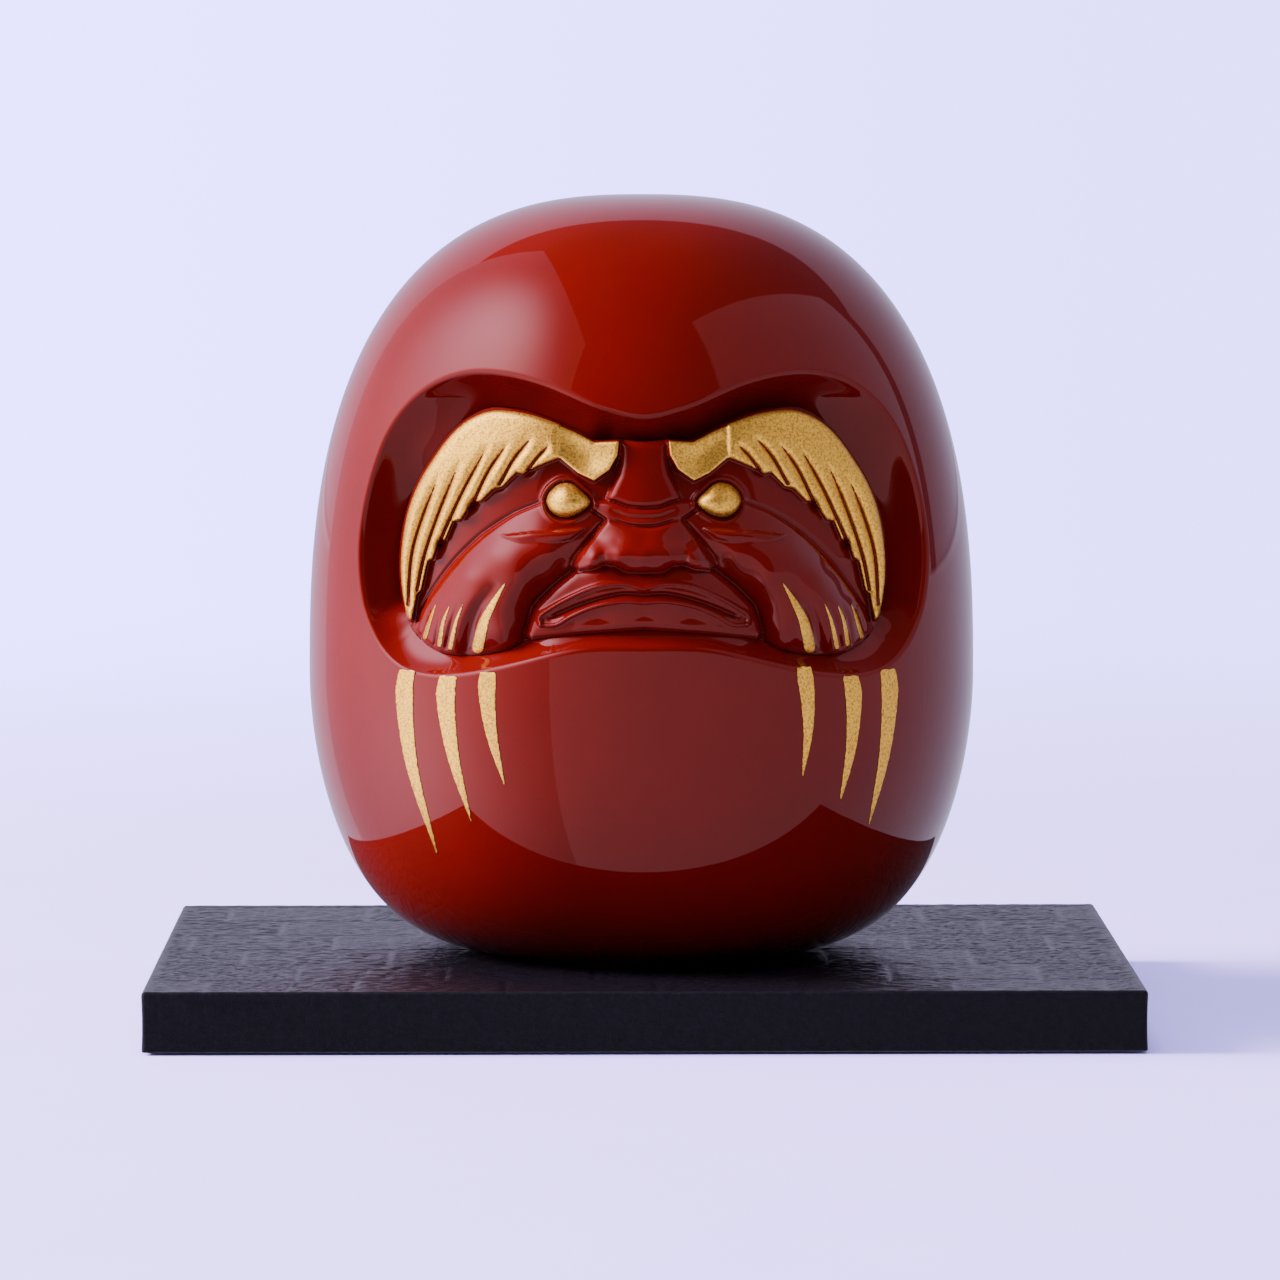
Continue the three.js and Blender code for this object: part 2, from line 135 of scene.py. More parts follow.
def smooth_curve(points, per_span=8, closed=False):
    """Points along a centripetal Catmull-Rom curve through the given (x, z) points."""
    points = np.asarray(points, dtype=float)
    if closed:
        padded = np.vstack([points[-1], points, points[:2]])
    else:
        padded = np.vstack([2 * points[0] - points[1], points, 2 * points[-1] - points[-2]])
    found = []
    for p0, p1, p2, p3 in zip(padded, padded[1:], padded[2:], padded[3:]):
        t1 = math.sqrt(max(np.linalg.norm(p1 - p0), 1e-9))
        t2 = t1 + math.sqrt(max(np.linalg.norm(p2 - p1), 1e-9))
        t3 = t2 + math.sqrt(max(np.linalg.norm(p3 - p2), 1e-9))
        t = np.linspace(t1, t2, per_span, endpoint=False)[:, None]
        a1 = (t1 - t) / t1 * p0 + t / t1 * p1
        a2 = (t2 - t) / (t2 - t1) * p1 + (t - t1) / (t2 - t1) * p2
        a3 = (t3 - t) / (t3 - t2) * p2 + (t - t2) / (t3 - t2) * p3
        b1 = (t2 - t) / t2 * a1 + t / t2 * a2
        b2 = (t3 - t) / (t3 - t1) * a2 + (t - t1) / (t3 - t1) * a3
        found.append((t2 - t) / (t2 - t1) * b1 + (t - t1) / (t2 - t1) * b2)
    if not closed:
        found.append(points[-1:])
    return np.vstack(found)


def with_mirror(half):
    """A right half that starts and ends on x = 0, with its mirror image."""
    return np.vstack([half, half[1:-1][::-1] * (-1, 1)])


def resampled(loop, count):
    """The closed loop as count evenly spaced points, starting at its first point."""
    closed = np.vstack([loop, loop[:1]])
    lengths = np.r_[0, np.cumsum(np.linalg.norm(np.diff(closed, axis=0), axis=1))]
    wanted = np.linspace(0, lengths[-1], count, endpoint=False)
    return np.stack([np.interp(wanted, lengths, closed[:, k]) for k in (0, 1)], axis=1)


def along_curve(curve, x, z):
    """Distance to a polyline, the share of its length at the nearest point, and the side."""
    spans = np.diff(curve, axis=0)
    lengths = np.linalg.norm(spans, axis=1)
    starts = np.r_[0, np.cumsum(lengths)]
    best = np.full(x.shape, np.inf)
    share = np.zeros(x.shape)
    side = np.zeros(x.shape)
    for (ax, az), (dx, dz), length, start in zip(curve, spans, lengths, starts):
        t = np.clip(((x - ax) * dx + (z - az) * dz) / length ** 2, 0, 1)
        gap = np.hypot(x - ax - t * dx, z - az - t * dz)
        closer = gap < best
        best = np.where(closer, gap, best)
        share = np.where(closer, (start + t * length) / starts[-1], share)
        side = np.where(closer, np.sign(dx * (z - az) - dz * (x - ax)), side)
    return best, share, side


def is_inside(loop, x, z):
    """Whether points lie inside a closed loop."""
    inside = np.zeros(np.shape(x), dtype=bool)
    for (ax, az), (bx, bz) in zip(loop, np.roll(loop, -1, axis=0)):
        if az == bz:
            continue
        crosses = ((az > z) != (bz > z)) & (x < ax + (z - az) / (bz - az) * (bx - ax))
        inside ^= crosses
    return inside


def inside_distance(loop, x, z):
    """Signed distance to a closed loop, positive inside."""
    distance, _, _ = along_curve(np.vstack([loop, loop[:1]]), x, z)
    return np.where(is_inside(loop, x, z), distance, -distance)


def smooth_max(a, b, k):
    """The larger of two fields, blended where they differ by less than k."""
    blend = np.maximum(k - np.abs(a - b), 0) / k
    return np.maximum(a, b) + blend ** 2 * k / 4


def eased(share):
    """A share of the way, with a soft start and end."""
    share = np.clip(share, 0, 1)
    return share ** 2 * (3 - 2 * share)


def smoothed_round(values, width):
    """Values at a closed loop's points, averaged over a soft window of points."""
    window = np.hanning(width)
    window /= window.sum()
    half = width // 2
    return np.convolve(np.r_[values[-half:], values, values[:half]], window, mode="valid")


# ---- Pocket walls ----

LOOP_POINTS = 720
rim_loop = resampled(smooth_curve(with_mirror(RIM), closed=True), LOOP_POINTS)
face_loop = resampled(smooth_curve(with_mirror(FACE_EDGE), closed=True), LOOP_POINTS)


def matched_loop(outer, inner, reach=60, smoothing=61):
    """The inner loop's points paired with the outer's, without crossing."""
    count = len(outer)
    shifts = np.zeros(count)
    for i in range(count):
        near = np.arange(i - reach, i + reach + 1)
        gaps = np.linalg.norm(inner[near % count] - outer[i], axis=1)
        shifts[i] = near[np.argmin(gaps)] - i
    position = (np.arange(count) + smoothed_round(shifts, smoothing)) % count
    wrapped = np.vstack([inner, inner[:1]])
    return np.stack([np.interp(position, np.arange(count + 1), wrapped[:, k]) for k in (0, 1)], axis=1)


wall_foot = matched_loop(rim_loop, face_loop)
wall_width = np.linalg.norm(wall_foot - rim_loop, axis=1)
foot_depth = np.minimum(POCKET_DEPTH, WALL_SLOPE * wall_width)


# ---- Carved face: masses in relief, with heights above the body's surface ----

# Outlines and (x, z, height) points are in millimetres, in the right half of the front view.
HOLLOW = [
    (0, 107.2, -5.4), (0, 88.9, -5), (0, 76.7, -4.5), (5.5, 105.2, -5.6), (5.9, 101.1, -5.2),
    (8.7, 100.7, -4.9), (12.2, 102.1, -4.6), (14.2, 98.6, -4.8), (19.3, 100.5, -4.2),
    (25.3, 97.7, -4), (30.4, 94.5, -4), (35, 89.5, -4.1), (38.6, 83.9, -4.3), (41.5, 77.6, -4.8),
    (20.3, 83.9, -5), (35.4, 73.9, -5),
]
BROW_EDGE = [
    (15, 111.9), (19.7, 113.5), (23.7, 114.2), (27.4, 114.2), (31.4, 112.6), (34.8, 109.7),
    (37.8, 105.7), (40.6, 101.1), (42.6, 96.1), (43.7, 90.6), (44.1, 85.5), (43.7, 80.2),
    (42.7, 76.2), (42.1, 75.8),
]
BROW_TIPS = [
    (41.2, 80.6), (40.4, 81.4), (39.2, 86.7), (38.2, 87.3), (37.1, 90.5), (36, 90.7), (34.6, 94.1),
    (33.1, 94.5), (31, 97.7), (29.5, 97.9), (27.2, 100.2), (25.5, 100.7), (23, 103.3), (21.7, 103),
    (19.3, 104.4), (15.2, 106.1),
]
BROW_HEIGHTS = [
    (15.2, 110.7, -1.7), (15.2, 107.2, -2.1), (22.3, 112.3, -1.1), (22.3, 105.7, -1.7),
    (28.4, 112.3, -1), (28.4, 101.7, -1.7), (34.4, 107.3, -0.9), (34.4, 95.6, -1.8),
    (39.5, 99.2, -0.9), (38.2, 88.6, -2), (42.5, 89.1, -1.3), (41.9, 79, -2.3),
]
BROW_HEAD = [
    (15.8, 112), (12.4, 110.6), (8.9, 108.8), (4.5, 109.1), (4.7, 106.7), (6.2, 104), (9, 102),
    (11.8, 103.3), (15, 105.9), (15.8, 106),
]
HEAD_HEIGHTS = [
    (4.7, 108.9, -1.9), (5.1, 106.1, -2.2), (9.1, 102.5, -2.9), (9.7, 105.9, -3.6),
    (9.5, 108.6, -2.9), (12.2, 104.1, -3.2), (12.6, 108.2, -3.3), (15.4, 111.2, -2.3),
    (15.4, 108.7, -2.7), (15.4, 106.3, -2.7),
]
HAIR_GROOVES = [
    [(36.6, 103.3), (39.9, 95.2), (42, 88.1), (42.8, 78.6)],
    [(32.8, 105.9), (36.7, 96.6), (39.7, 87.9), (41.1, 81.4)],
    [(27.8, 108.5), (32.5, 100), (36, 92.4), (37, 89.9)],
    [(24.1, 109), (27.8, 103.8), (31.1, 97)],
    [(19.9, 109.9), (23.2, 106), (26, 101.1)],
    [(16.8, 108.6), (19.6, 105.5), (20.8, 103.7)],
]
BRIDGE = [
    (0, 109.1), (4.4, 109), (4.3, 105.1), (4.7, 103.1), (5.7, 101), (6.7, 98.6), (2.8, 97.2), (0, 97),
]
BRIDGE_HEIGHTS = [
    (0, 108.7, -3), (0, 103.1, -2.7), (0, 98, -2.4), (4.1, 108.7, -3.2), (4.1, 103.1, -3),
    (5.5, 99.5, -2.9),
]
ROOT_FOLDS = [
    (0, 97), (2.8, 97.2), (6.4, 98.4), (9.3, 98.3), (9.1, 96.8), (6.5, 95.1), (2.2, 94), (0, 93.9),
]
ROOT_HEIGHTS = [(0, 97, -2.4), (0, 93.9, -1.9), (6.1, 97, -3), (5.1, 94.9, -2.6), (9.1, 97.6, -3.9)]
ROOT_CREASES = [
    [(0, 97), (2.6, 97.2), (5.7, 98.3), (9.1, 98.2)],
    [(0, 95.4), (3, 95.6), (6.3, 96.9)],
    [(0, 93.9), (2.2, 94), (6.5, 95.3)],
]
NOSE = [
    (0, 94), (2.2, 94.1), (6.5, 95.3), (9.2, 92), (12.2, 88.5), (12.9, 86.9), (12, 85.9), (9.1, 86.4),
    (7.1, 87.2), (5.3, 86.9), (3.5, 85.8), (0, 85.6),
]
NOSE_HEIGHTS = [
    (0, 93.9, -1.9), (5.7, 94.7, -2.5), (0, 91.2, -0.5), (4.9, 91.3, -1), (8.3, 91.9, -2.5),
    (0, 89, 0.6), (4.5, 89, 0.3), (8.5, 89.4, -0.9), (11.2, 88.9, -2.1), (0, 87.2, -0.1),
    (4.7, 87.8, -0.2), (9.7, 87.4, -1), (0, 85.8, -1.5), (5.1, 86.9, -1.5), (12.4, 86.8, -2.6),
]
WING_CENTRE = (9.5, 88.2)
WING_SIZE = 1.9
WING_RISE = 0.7
WING_CREASE = [(7, 86.8), (7.4, 88.2), (7.3, 89.9)]
CHEEK = [
    (17.9, 98.3), (23.3, 96.1), (29, 92.3), (33.8, 87.7), (37.7, 82.5), (40.7, 77.3), (42, 74.3),
    (39.9, 71.9), (37, 70.3), (32.8, 69.8), (27.4, 70.5), (23.9, 71.5), (21.5, 72.9), (21.4, 74.7),
    (20, 79.2), (16.4, 83), (12.7, 86), (12.6, 88), (9.6, 92), (6.9, 95.1), (9.5, 96.4), (12.6, 96.6),
]
CHEEK_HEIGHTS = [
    (18.3, 97.7, -3.7), (23.3, 95.5, -3.5), (28.8, 91.9, -3.4), (33.4, 87.2, -3.4), (37.2, 82, -3.4),
    (40.2, 77, -3.6), (41.1, 74.3, -3.9), (21.3, 93, -2), (27.4, 89, -0.8), (31.9, 84.4, -0.6),
    (34.9, 79.9, -0.9), (37.4, 75.4, -1.6), (11.2, 92.1, -3), (16.2, 88.3, -1.6), (21.5, 83.7, -0.7),
    (23.9, 79.7, -1.1), (24.5, 75.1, -1.5), (26.9, 82.8, -0.2), (29.4, 76.8, -0.8), (36.8, 71.2, -3),
    (32.8, 70.8, -3), (27.4, 71.5, -2.8), (24.1, 72.7, -2.8), (12.7, 86.3, -4.5), (16.4, 83.4, -4.7),
    (19.9, 79.6, -4.9), (21.3, 74.8, -4.9), (14.5, 87.2, -3.4), (19, 83.7, -3), (22, 79.6, -2.9),
    (23.1, 74.7, -3), (9.8, 92.2, -3.6), (7.7, 94.8, -3.9), (12.2, 96.2, -3.8), (13.7, 94.4, -3),
]
LID_LINE = [
    (18.1, 98.2), (23.3, 96), (29, 92.2), (33.8, 87.6), (37.7, 82.4), (40.7, 77.2), (41.9, 74.3),
]
FOLD_LINE = [(12.6, 86), (16.4, 83), (20, 79.2), (21.4, 73.7)]
EYE_BAG = [
    (10.6, 93.5), (15.2, 93.1), (20.3, 92.8), (25.8, 92), (22.6, 90.4), (17.7, 90.4), (13, 91.6),
]
BAG_HEIGHTS = [
    (11.2, 92.9, -2), (15.2, 92.4, -1.1), (20.3, 91.9, -0.8), (24.9, 91.6, -1.1), (17.3, 90.9, -1.1),
    (22.3, 90.9, -0.9),
]
MUZZLE = [
    (0, 85.8), (3.5, 86), (5.3, 87.1), (7.1, 87.4), (9.1, 86.6), (12.6, 86), (16.3, 83), (19.9, 79.2),
    (21.3, 74.3), (20.3, 73.3), (10.2, 74.5), (0, 75.4),
]
MUZZLE_HEIGHTS = [
    (0, 85.4, -1.9), (0, 83.3, -0.9), (0, 78.2, -1.5), (0, 76, -1.4), (7.1, 85.8, -2),
    (7.6, 82.7, -1.2), (8.1, 77.7, -1.7), (8.1, 75.6, -1.6), (12.6, 84.4, -2.4), (13.7, 81.2, -1.9),
    (14.2, 76.3, -2), (18.3, 78.8, -2.6), (18.7, 75.1, -2.3),
]
MOUTH_UPPER = [
    (0, 82.9), (3.8, 83.8), (8.4, 83.3), (12.6, 81.6), (16.8, 79.2), (18.8, 77.6), (18.7, 76.3),
]
MOUTH_SLIT = [(0, 81.7), (3.5, 81.9), (7.7, 81.1), (12.6, 79.4), (17.3, 77.2)]
MOUTH_LOWER = [(0, 80.4), (3.8, 80.6), (9.1, 79.6), (13.2, 77.8), (16, 76.2), (18.7, 76.1)]
CHEEK_FURROW = [(26, 83.7), (29.7, 79), (31.2, 74.8), (32, 70.9)]
CHEEK_STROKES = [
    [(37.4, 79.7), (38.6, 76.5), (39.7, 72.9)],
    [(34.8, 79.8), (36.2, 76.3), (37, 71.8)],
    [(32.4, 80.1), (33.8, 76.6), (35, 71.4)],
    [(24.9, 83.7), (27.1, 80), (28.8, 76.6), (30, 71.6)],
]
STROKE_WIDTHS = mm([0.8, 0.85, 0.85, 2.1])
EYE = [
    (9.6, 98), (11.1, 99.9), (13.1, 101.4), (15.1, 101.3), (16.8, 100), (17.5, 98.2), (16.6, 96.3),
    (14.4, 95.3), (11.9, 96),
]
EYE_RISE = 3 * MM
EYE_DEPTH = 4.5 * MM
SOCKET_DEPTH = 4.4 * MM
SOCKET_BLEND = 1.4 * MM
LID_GAP = 0.75 * MM
LID_WIDTH = 0.42 * MM
LID_RISE = 0.7 * MM
LAYER = 0.07 * MM
LAYER_BACK = 0.2 * LAYER

# Each mass, in millimetres: outline, heights, width and drop of its rolled edge, and its blend
# into what lies under it.
MASSES = [
    (CHEEK, CHEEK_HEIGHTS, 1.1, 0.7, 0.5),
    (EYE_BAG, BAG_HEIGHTS, 0.8, 0.9, 0.2),
    (MUZZLE, MUZZLE_HEIGHTS, 1.7, 1.6, 0.5),
    (ROOT_FOLDS, ROOT_HEIGHTS, 0.8, 0.5, 0.5),
    (BRIDGE, BRIDGE_HEIGHTS, 1.5, 1.4, 0.6),
    (NOSE, NOSE_HEIGHTS, 1, 0.9, 0.4),
    (BROW_HEAD, HEAD_HEIGHTS, 0.5, 0.35, 0.2),
]
BROW_ROLL = (1.6 * MM, 0.9 * MM)
BROW_BLEND = 0.2 * MM

# Each line worked into the masses: its points, width and depth (a ridge where negative), and
# the shares of its length over which it fades in and out.
BESIDE_STROKE = (0.75, 0)
LINES = [
    (WING_CREASE, 0.6, 0.45, 0, 0.5),
    *[(crease, 0.35, 0.45, 0, 0.3) for crease in ROOT_CREASES],
    (LID_LINE, 0.3, 0.35, 0, 0),
    (FOLD_LINE, 0.35, 0.4, 0, 0),
    (MOUTH_UPPER, 0.34, -0.7, 0, 0),
    (MOUTH_LOWER, 0.34, -0.6, 0, 0),
    (MOUTH_SLIT, 0.4, 1.1, 0, 0.1),
    (CHEEK_FURROW, 1.2, 1.1, 0.4, 0),
    *[(np.array(stroke) + BESIDE_STROKE, 0.4, 0.35, 0.5, 0) for stroke in CHEEK_STROKES[:-1]],
]

# A hair groove is a wide valley with a narrow cut in it, each a depth and a width. The gold
# leaves it bare over a half-width that grows along the groove.
HAIR_FADE = 0.3
HAIR_CUTS = [(0.65, 0.95), (0.5, 0.28)]
GROOVE_SHARES = [0, 0.12, 1]
GROOVE_WIDTHS = mm([-0.3, 0.12, 0.3])

# The right half of the face on a fine grid, with x = 0 as its first column.
CELL = 0.23 * MM
GRID_MARGIN = 1 * MM
half_columns = int(math.ceil((face_loop[:, 0].max() + GRID_MARGIN) / CELL))
rows = int(math.ceil((np.ptp(face_loop[:, 1]) + 2 * GRID_MARGIN) / CELL))
half_x = np.arange(half_columns + 1) * CELL
face_z = face_loop[:, 1].min() - GRID_MARGIN + np.arange(rows + 1) * CELL
HX, HZ = np.meshgrid(half_x, face_z, indexing="ij")


def thin_plate(points, x, z):
    """The smooth surface through (x, z, height) points, mirrored where it crosses x = 0."""
    points = mm(points)
    if np.any(points[:, 0] == 0):
        right = points[points[:, 0] > 0]
        points = np.vstack([points, right * (-1, 1, 1)])
    centres, heights = points[:, :2], points[:, 2]

    def kernel(ax, az):
        squared = ((ax - centres[:, 0]) ** 2 + (az - centres[:, 1]) ** 2) / MM ** 2 + 1e-9
        return squared * np.log(squared)

    count = len(points)
    system = np.zeros((count + 3, count + 3))
    system[:count, :count] = [kernel(*centre) for centre in centres]
    system[:count, count] = system[count, :count] = 1
    system[:count, count + 1:] = centres / MM
    system[count + 1:, :count] = centres.T / MM
    solved = np.linalg.solve(system, np.r_[heights, 0, 0, 0])
    found = solved[count] + solved[count + 1] * x / MM + solved[count + 2] * z / MM
    for weight, (cx, cz) in zip(solved, centres):
        squared = ((x - cx) ** 2 + (z - cz) ** 2) / MM ** 2 + 1e-9
        found = found + weight * squared * np.log(squared)
    return found


def rolled_edge(inside, width, drop):
    """The fall next to a mass's edge: a quarter round of this width and drop, then a cliff."""
    t = np.clip(inside / width, 0, 1)
    return drop * (1 - np.sqrt(1 - (1 - t) ** 2)) + 4 * np.maximum(-inside, 0)


def mass(outline, heights, width, drop):
    """The height of one raised mass over the half grid, with its edge rolled over."""
    loop = mm(outline)
    if outline[0][0] == 0:
        loop = with_mirror(loop)
    inside = inside_distance(loop, HX, HZ)
    return thin_plate(heights, HX, HZ) - rolled_edge(inside, width * MM, drop * MM)


def carved(points, width, depth, fade_in, fade_out):
    """A rounded groove along a curve, as a height to take away, fading at its ends."""
    gap, share, _ = along_curve(smooth_curve(mm(points)), HX, HZ)
    fade = np.ones(HX.shape)
    if fade_in:
        fade = np.clip(share / fade_in, 0, 1)
    if fade_out:
        fade = fade * np.clip((1 - share) / fade_out, 0, 1)
    return depth * MM * fade * np.exp(-(gap / (width * MM)) ** 2)


def inflated(inside, rise, rounds=1200):
    """A pillow over the cells where inside > 0: the root of a stretched membrane's height."""
    mask = inside > 0
    sheet = np.zeros(inside.shape)
    for _ in range(rounds):
        middle = (sheet[2:, 1:-1] + sheet[:-2, 1:-1] + sheet[1:-1, 2:] + sheet[1:-1, :-2]) / 4
        sheet[1:-1, 1:-1] = np.where(mask[1:-1, 1:-1], middle + 1, 0)
    return rise * np.sqrt(sheet / sheet.max())


def stroke_width(share, square_top):
    """Half-width of a brush stroke along its length, as a share of its widest."""
    if square_top:
        return np.interp(share, [0, 0.12, 0.45, 0.75, 1], [0.86, 1, 0.72, 0.4, 0.04])
    return np.interp(share, [0, 0.35, 0.7, 1], [0.05, 0.55, 0.9, 1])


brow_loop = np.vstack([smooth_curve(mm(BROW_EDGE)), mm(BROW_TIPS)])
relief = thin_plate(HOLLOW, HX, HZ)
for outline, heights, width, drop, blend in MASSES:
    relief = smooth_max(relief, mass(outline, heights, width, drop), blend * MM)
brow_inside = inside_distance(brow_loop, HX, HZ)
brow_height = thin_plate(BROW_HEIGHTS, HX, HZ) - rolled_edge(brow_inside, *BROW_ROLL)
relief = smooth_max(relief, brow_height, BROW_BLEND)

wing_x, wing_z = mm(WING_CENTRE)
wing = ((HX - wing_x) ** 2 + (HZ - wing_z) ** 2) / (WING_SIZE * MM) ** 2
relief = relief + WING_RISE * MM * np.exp(-wing)
for line in LINES:
    relief = relief - carved(*line)

groove_cut = np.full(HX.shape, np.inf)
for groove in HAIR_GROOVES:
    gap, share, _ = along_curve(smooth_curve(mm(groove)), HX, HZ)
    fade = np.clip(share / HAIR_FADE, 0, 1)
    for depth, width in HAIR_CUTS:
        relief = relief - depth * MM * fade * np.exp(-(gap / (width * MM)) ** 2)
    groove_cut = np.minimum(groove_cut, gap - np.interp(share, GROOVE_SHARES, GROOVE_WIDTHS))

# The eye is a bead in a socket, with a raised lid round it.
eye_loop = smooth_curve(mm(EYE), closed=True)
eye_inside = inside_distance(eye_loop, HX, HZ)
socket = np.minimum(relief, -SOCKET_DEPTH)
relief = relief + (socket - relief) * eased(1 + eye_inside / SOCKET_BLEND)
relief = relief + LID_RISE * np.exp(-((eye_inside + LID_GAP) / LID_WIDTH) ** 2)
eye_height = inflated(eye_inside, EYE_RISE) - EYE_DEPTH

head_inside = inside_distance(mm(BROW_HEAD), HX, HZ)
brow_gold = np.minimum(np.maximum(brow_inside, head_inside), groove_cut)


# ---- Carved face meshes ----

FACE_CLEARANCE = 0.04 * MM
FACE_BACK = 7.9 * MM
CAP_SPACING = 4 * MM
EDGE_MARGIN = 0.03


def whole(half):
    """A half-grid array continued to the left of x = 0."""
    return np.vstack([half[1:][::-1], half])


def trimmed_grid(xs, zs, field):
    """The points (x, z) and faces of a grid's part where field > 0, and a way to sample grids."""
    inside = field > 0
    beside = np.zeros_like(inside)
    for axis in (0, 1):
        beside |= np.roll(inside, 1, axis) | np.roll(inside, -1, axis)
    # A lone grid point would make a speck, so it is left out.
    inside &= beside
    number = np.full(field.shape, -1)
    number[inside] = np.arange(inside.sum())
    cell_in = inside[:-1, :-1].astype(int) + inside[1:, :-1] + inside[1:, 1:] + inside[:-1, 1:]
    nodes = np.argwhere(inside)
    sources = [(i, j, i, j, 0.0) for i, j in nodes]
    cuts = {}

    def cut(a, b):
        """The number of the point where the edge between two grid points crosses zero."""
        key = (min(a, b), max(a, b))
        if key not in cuts:
            (ia, ja), (ib, jb) = key
            share = field[ia, ja] / (field[ia, ja] - field[ib, jb])
            cuts[key] = len(sources)
            sources.append((ia, ja, ib, jb, min(max(share, EDGE_MARGIN), 1 - EDGE_MARGIN)))
        return cuts[key]

    i, j = np.nonzero(cell_in == 4)
    corners = [number[i, j], number[i + 1, j], number[i + 1, j + 1], number[i, j + 1]]
    faces = np.stack(corners, axis=1).tolist()
    for i, j in zip(*np.nonzero((cell_in > 0) & (cell_in < 4))):
        corners = [(i, j), (i + 1, j), (i + 1, j + 1), (i, j + 1)]
        polygon = []
        for k, corner in enumerate(corners):
            following = corners[(k + 1) % 4]
            if inside[corner]:
                polygon.append(int(number[corner]))
            if inside[corner] != inside[following]:
                polygon.append(cut(corner, following))
        faces.append(polygon)
    sources = np.array(sources)
    ia, ja, ib, jb = sources[:, :4].astype(int).T
    share = sources[:, 4]

    def sample(values):
        """A grid's values at the points."""
        return values[ia, ja] * (1 - share) + values[ib, jb] * share

    x, z = np.meshgrid(xs, zs, indexing="ij")
    return np.stack([sample(x), sample(z)], axis=1), faces, sample


def open_edges(faces):
    """The directed edges of faces that no other face shares."""
    edges = {}
    for face in faces:
        for a, b in zip(face, face[1:] + face[:1]):
            if edges.pop((b, a), None) is None:
                edges[(a, b)] = True
    return list(edges)


def in_order(edges):
    """The points of directed edges that form one loop, in order."""
    following = dict(edges)
    loop = [edges[0][0]]
    while following[loop[-1]] != loop[0]:
        loop.append(following[loop[-1]])
    return loop


def add_mesh(name, points, faces, body, slot, replaced, normals=None):
    """A smooth-shaded piece from points and faces, riding on a body."""
    mesh = bpy.data.meshes.new(name)
    mesh.from_pydata(np.asarray(points).tolist(), [], faces)
    mesh.polygons.foreach_set("use_smooth", [True] * len(mesh.polygons))
    if normals is not None:
        mesh.normals_split_custom_set_from_vertices(np.asarray(normals).tolist())
    piece = bpy.data.objects.new(name, mesh)
    bpy.context.scene.collection.objects.link(piece)
    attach(piece, body)
    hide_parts(*replaced)
    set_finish(piece, slot)


def surface_points(flat, height):
    """Points in space for (x, z) points at heights above the body's surface."""
    y = front_y(flat[:, 0], flat[:, 1], -height)
    return np.stack([flat[:, 0], y, flat[:, 1]], axis=1)


def add_layer(name, xs, zs, mask, height, back, slot):
    """A closed layer where mask > 0, between the height fields of its front and its back."""
    flat, faces, sample = trimmed_grid(xs, zs, mask)
    count = len(flat)
    front = surface_points(flat, sample(height))
    rear = surface_points(flat, sample(back))
    sides = [[b, a, a + count, b + count] for a, b in open_edges(faces)]
    rear_faces = [[k + count for k in reversed(face)] for face in faces]
    add_mesh(name, np.vstack([front, rear]), faces + rear_faces + sides, "doll", slot, [name])


def loop_edges(start, count):
    """The edges of a closed loop of points that are numbered from start."""
    return [(start + k, start + (k + 1) % count) for k in range(count)]


def triangulated(flat, edges):
    """Triangles of flat points that keep the given edges, numbered as the points are."""
    _, _, faces, origins, _, _ = delaunay_2d_cdt([Vector(p) for p in flat], edges, [], 1, 1e-9)
    return [[origins[k][0] for k in face] for face in faces]


def cap_inside(boundary):
    """Points and faces that close a loop of (x, z) points."""
    low, high = boundary.min(axis=0), boundary.max(axis=0)
    xs = np.arange(low[0], high[0], CAP_SPACING) + CAP_SPACING / 2
    zs = np.arange(low[1], high[1], CAP_SPACING) + CAP_SPACING / 2
    x, z = (grid.ravel() for grid in np.meshgrid(xs, zs))
    keep = inside_distance(boundary, x, z) > CAP_SPACING / 2
    flat = np.vstack([boundary, np.stack([x[keep], z[keep]], axis=1)])
    return flat, triangulated(flat, loop_edges(0, len(boundary)))


# The carved face: its relief in front, a coarse back, and a band of faces round its edge.
face_x = np.r_[-half_x[1:][::-1], half_x]
face_mask = inside_distance(face_loop, HX, HZ) - FACE_CLEARANCE
flat, faces, sample = trimmed_grid(face_x, face_z, whole(face_mask))
front = surface_points(flat, sample(whole(relief)))
ring = in_order(open_edges(faces))
flat_back, back_faces = cap_inside(flat[ring])
back_points = surface_points(flat_back, -FACE_BACK)
count = len(flat)
back_faces = [[count + k for k in reversed(face)] for face in back_faces]
sides = [
    [ring[(k + 1) % len(ring)], ring[k], count + k, count + (k + 1) % len(ring)]
    for k in range(len(ring))
]
add_mesh(
    "face_relief", np.vstack([front, back_points]), faces + back_faces + sides, "doll", "lacquer",
    ["face_relief"],
)

# The gilding on both halves: brow, eye and the strokes on the cheek.
for side, step in [("left", -1), ("right", 1)]:
    layers = [
        ("brow_" + side, brow_gold, relief + LAYER),
        ("eye_" + side, eye_inside, eye_height),
    ]
    for i, (stroke, width) in enumerate(zip(CHEEK_STROKES, STROKE_WIDTHS)):
        gap, share, _ = along_curve(smooth_curve(mm(stroke)), HX, HZ)
        mask = width / 2 * stroke_width(share, False) - gap
        layers.append((f"cheek_stroke_{side}_{i + 1}", mask, relief + LAYER))
    xs = step * half_x[::step]
    back = (relief + LAYER_BACK)[::step]
    for name, mask, height in layers:
        add_layer(name, xs, face_z, mask[::step], height[::step], back, "gold")


# ---- Whiskers painted on the body ----

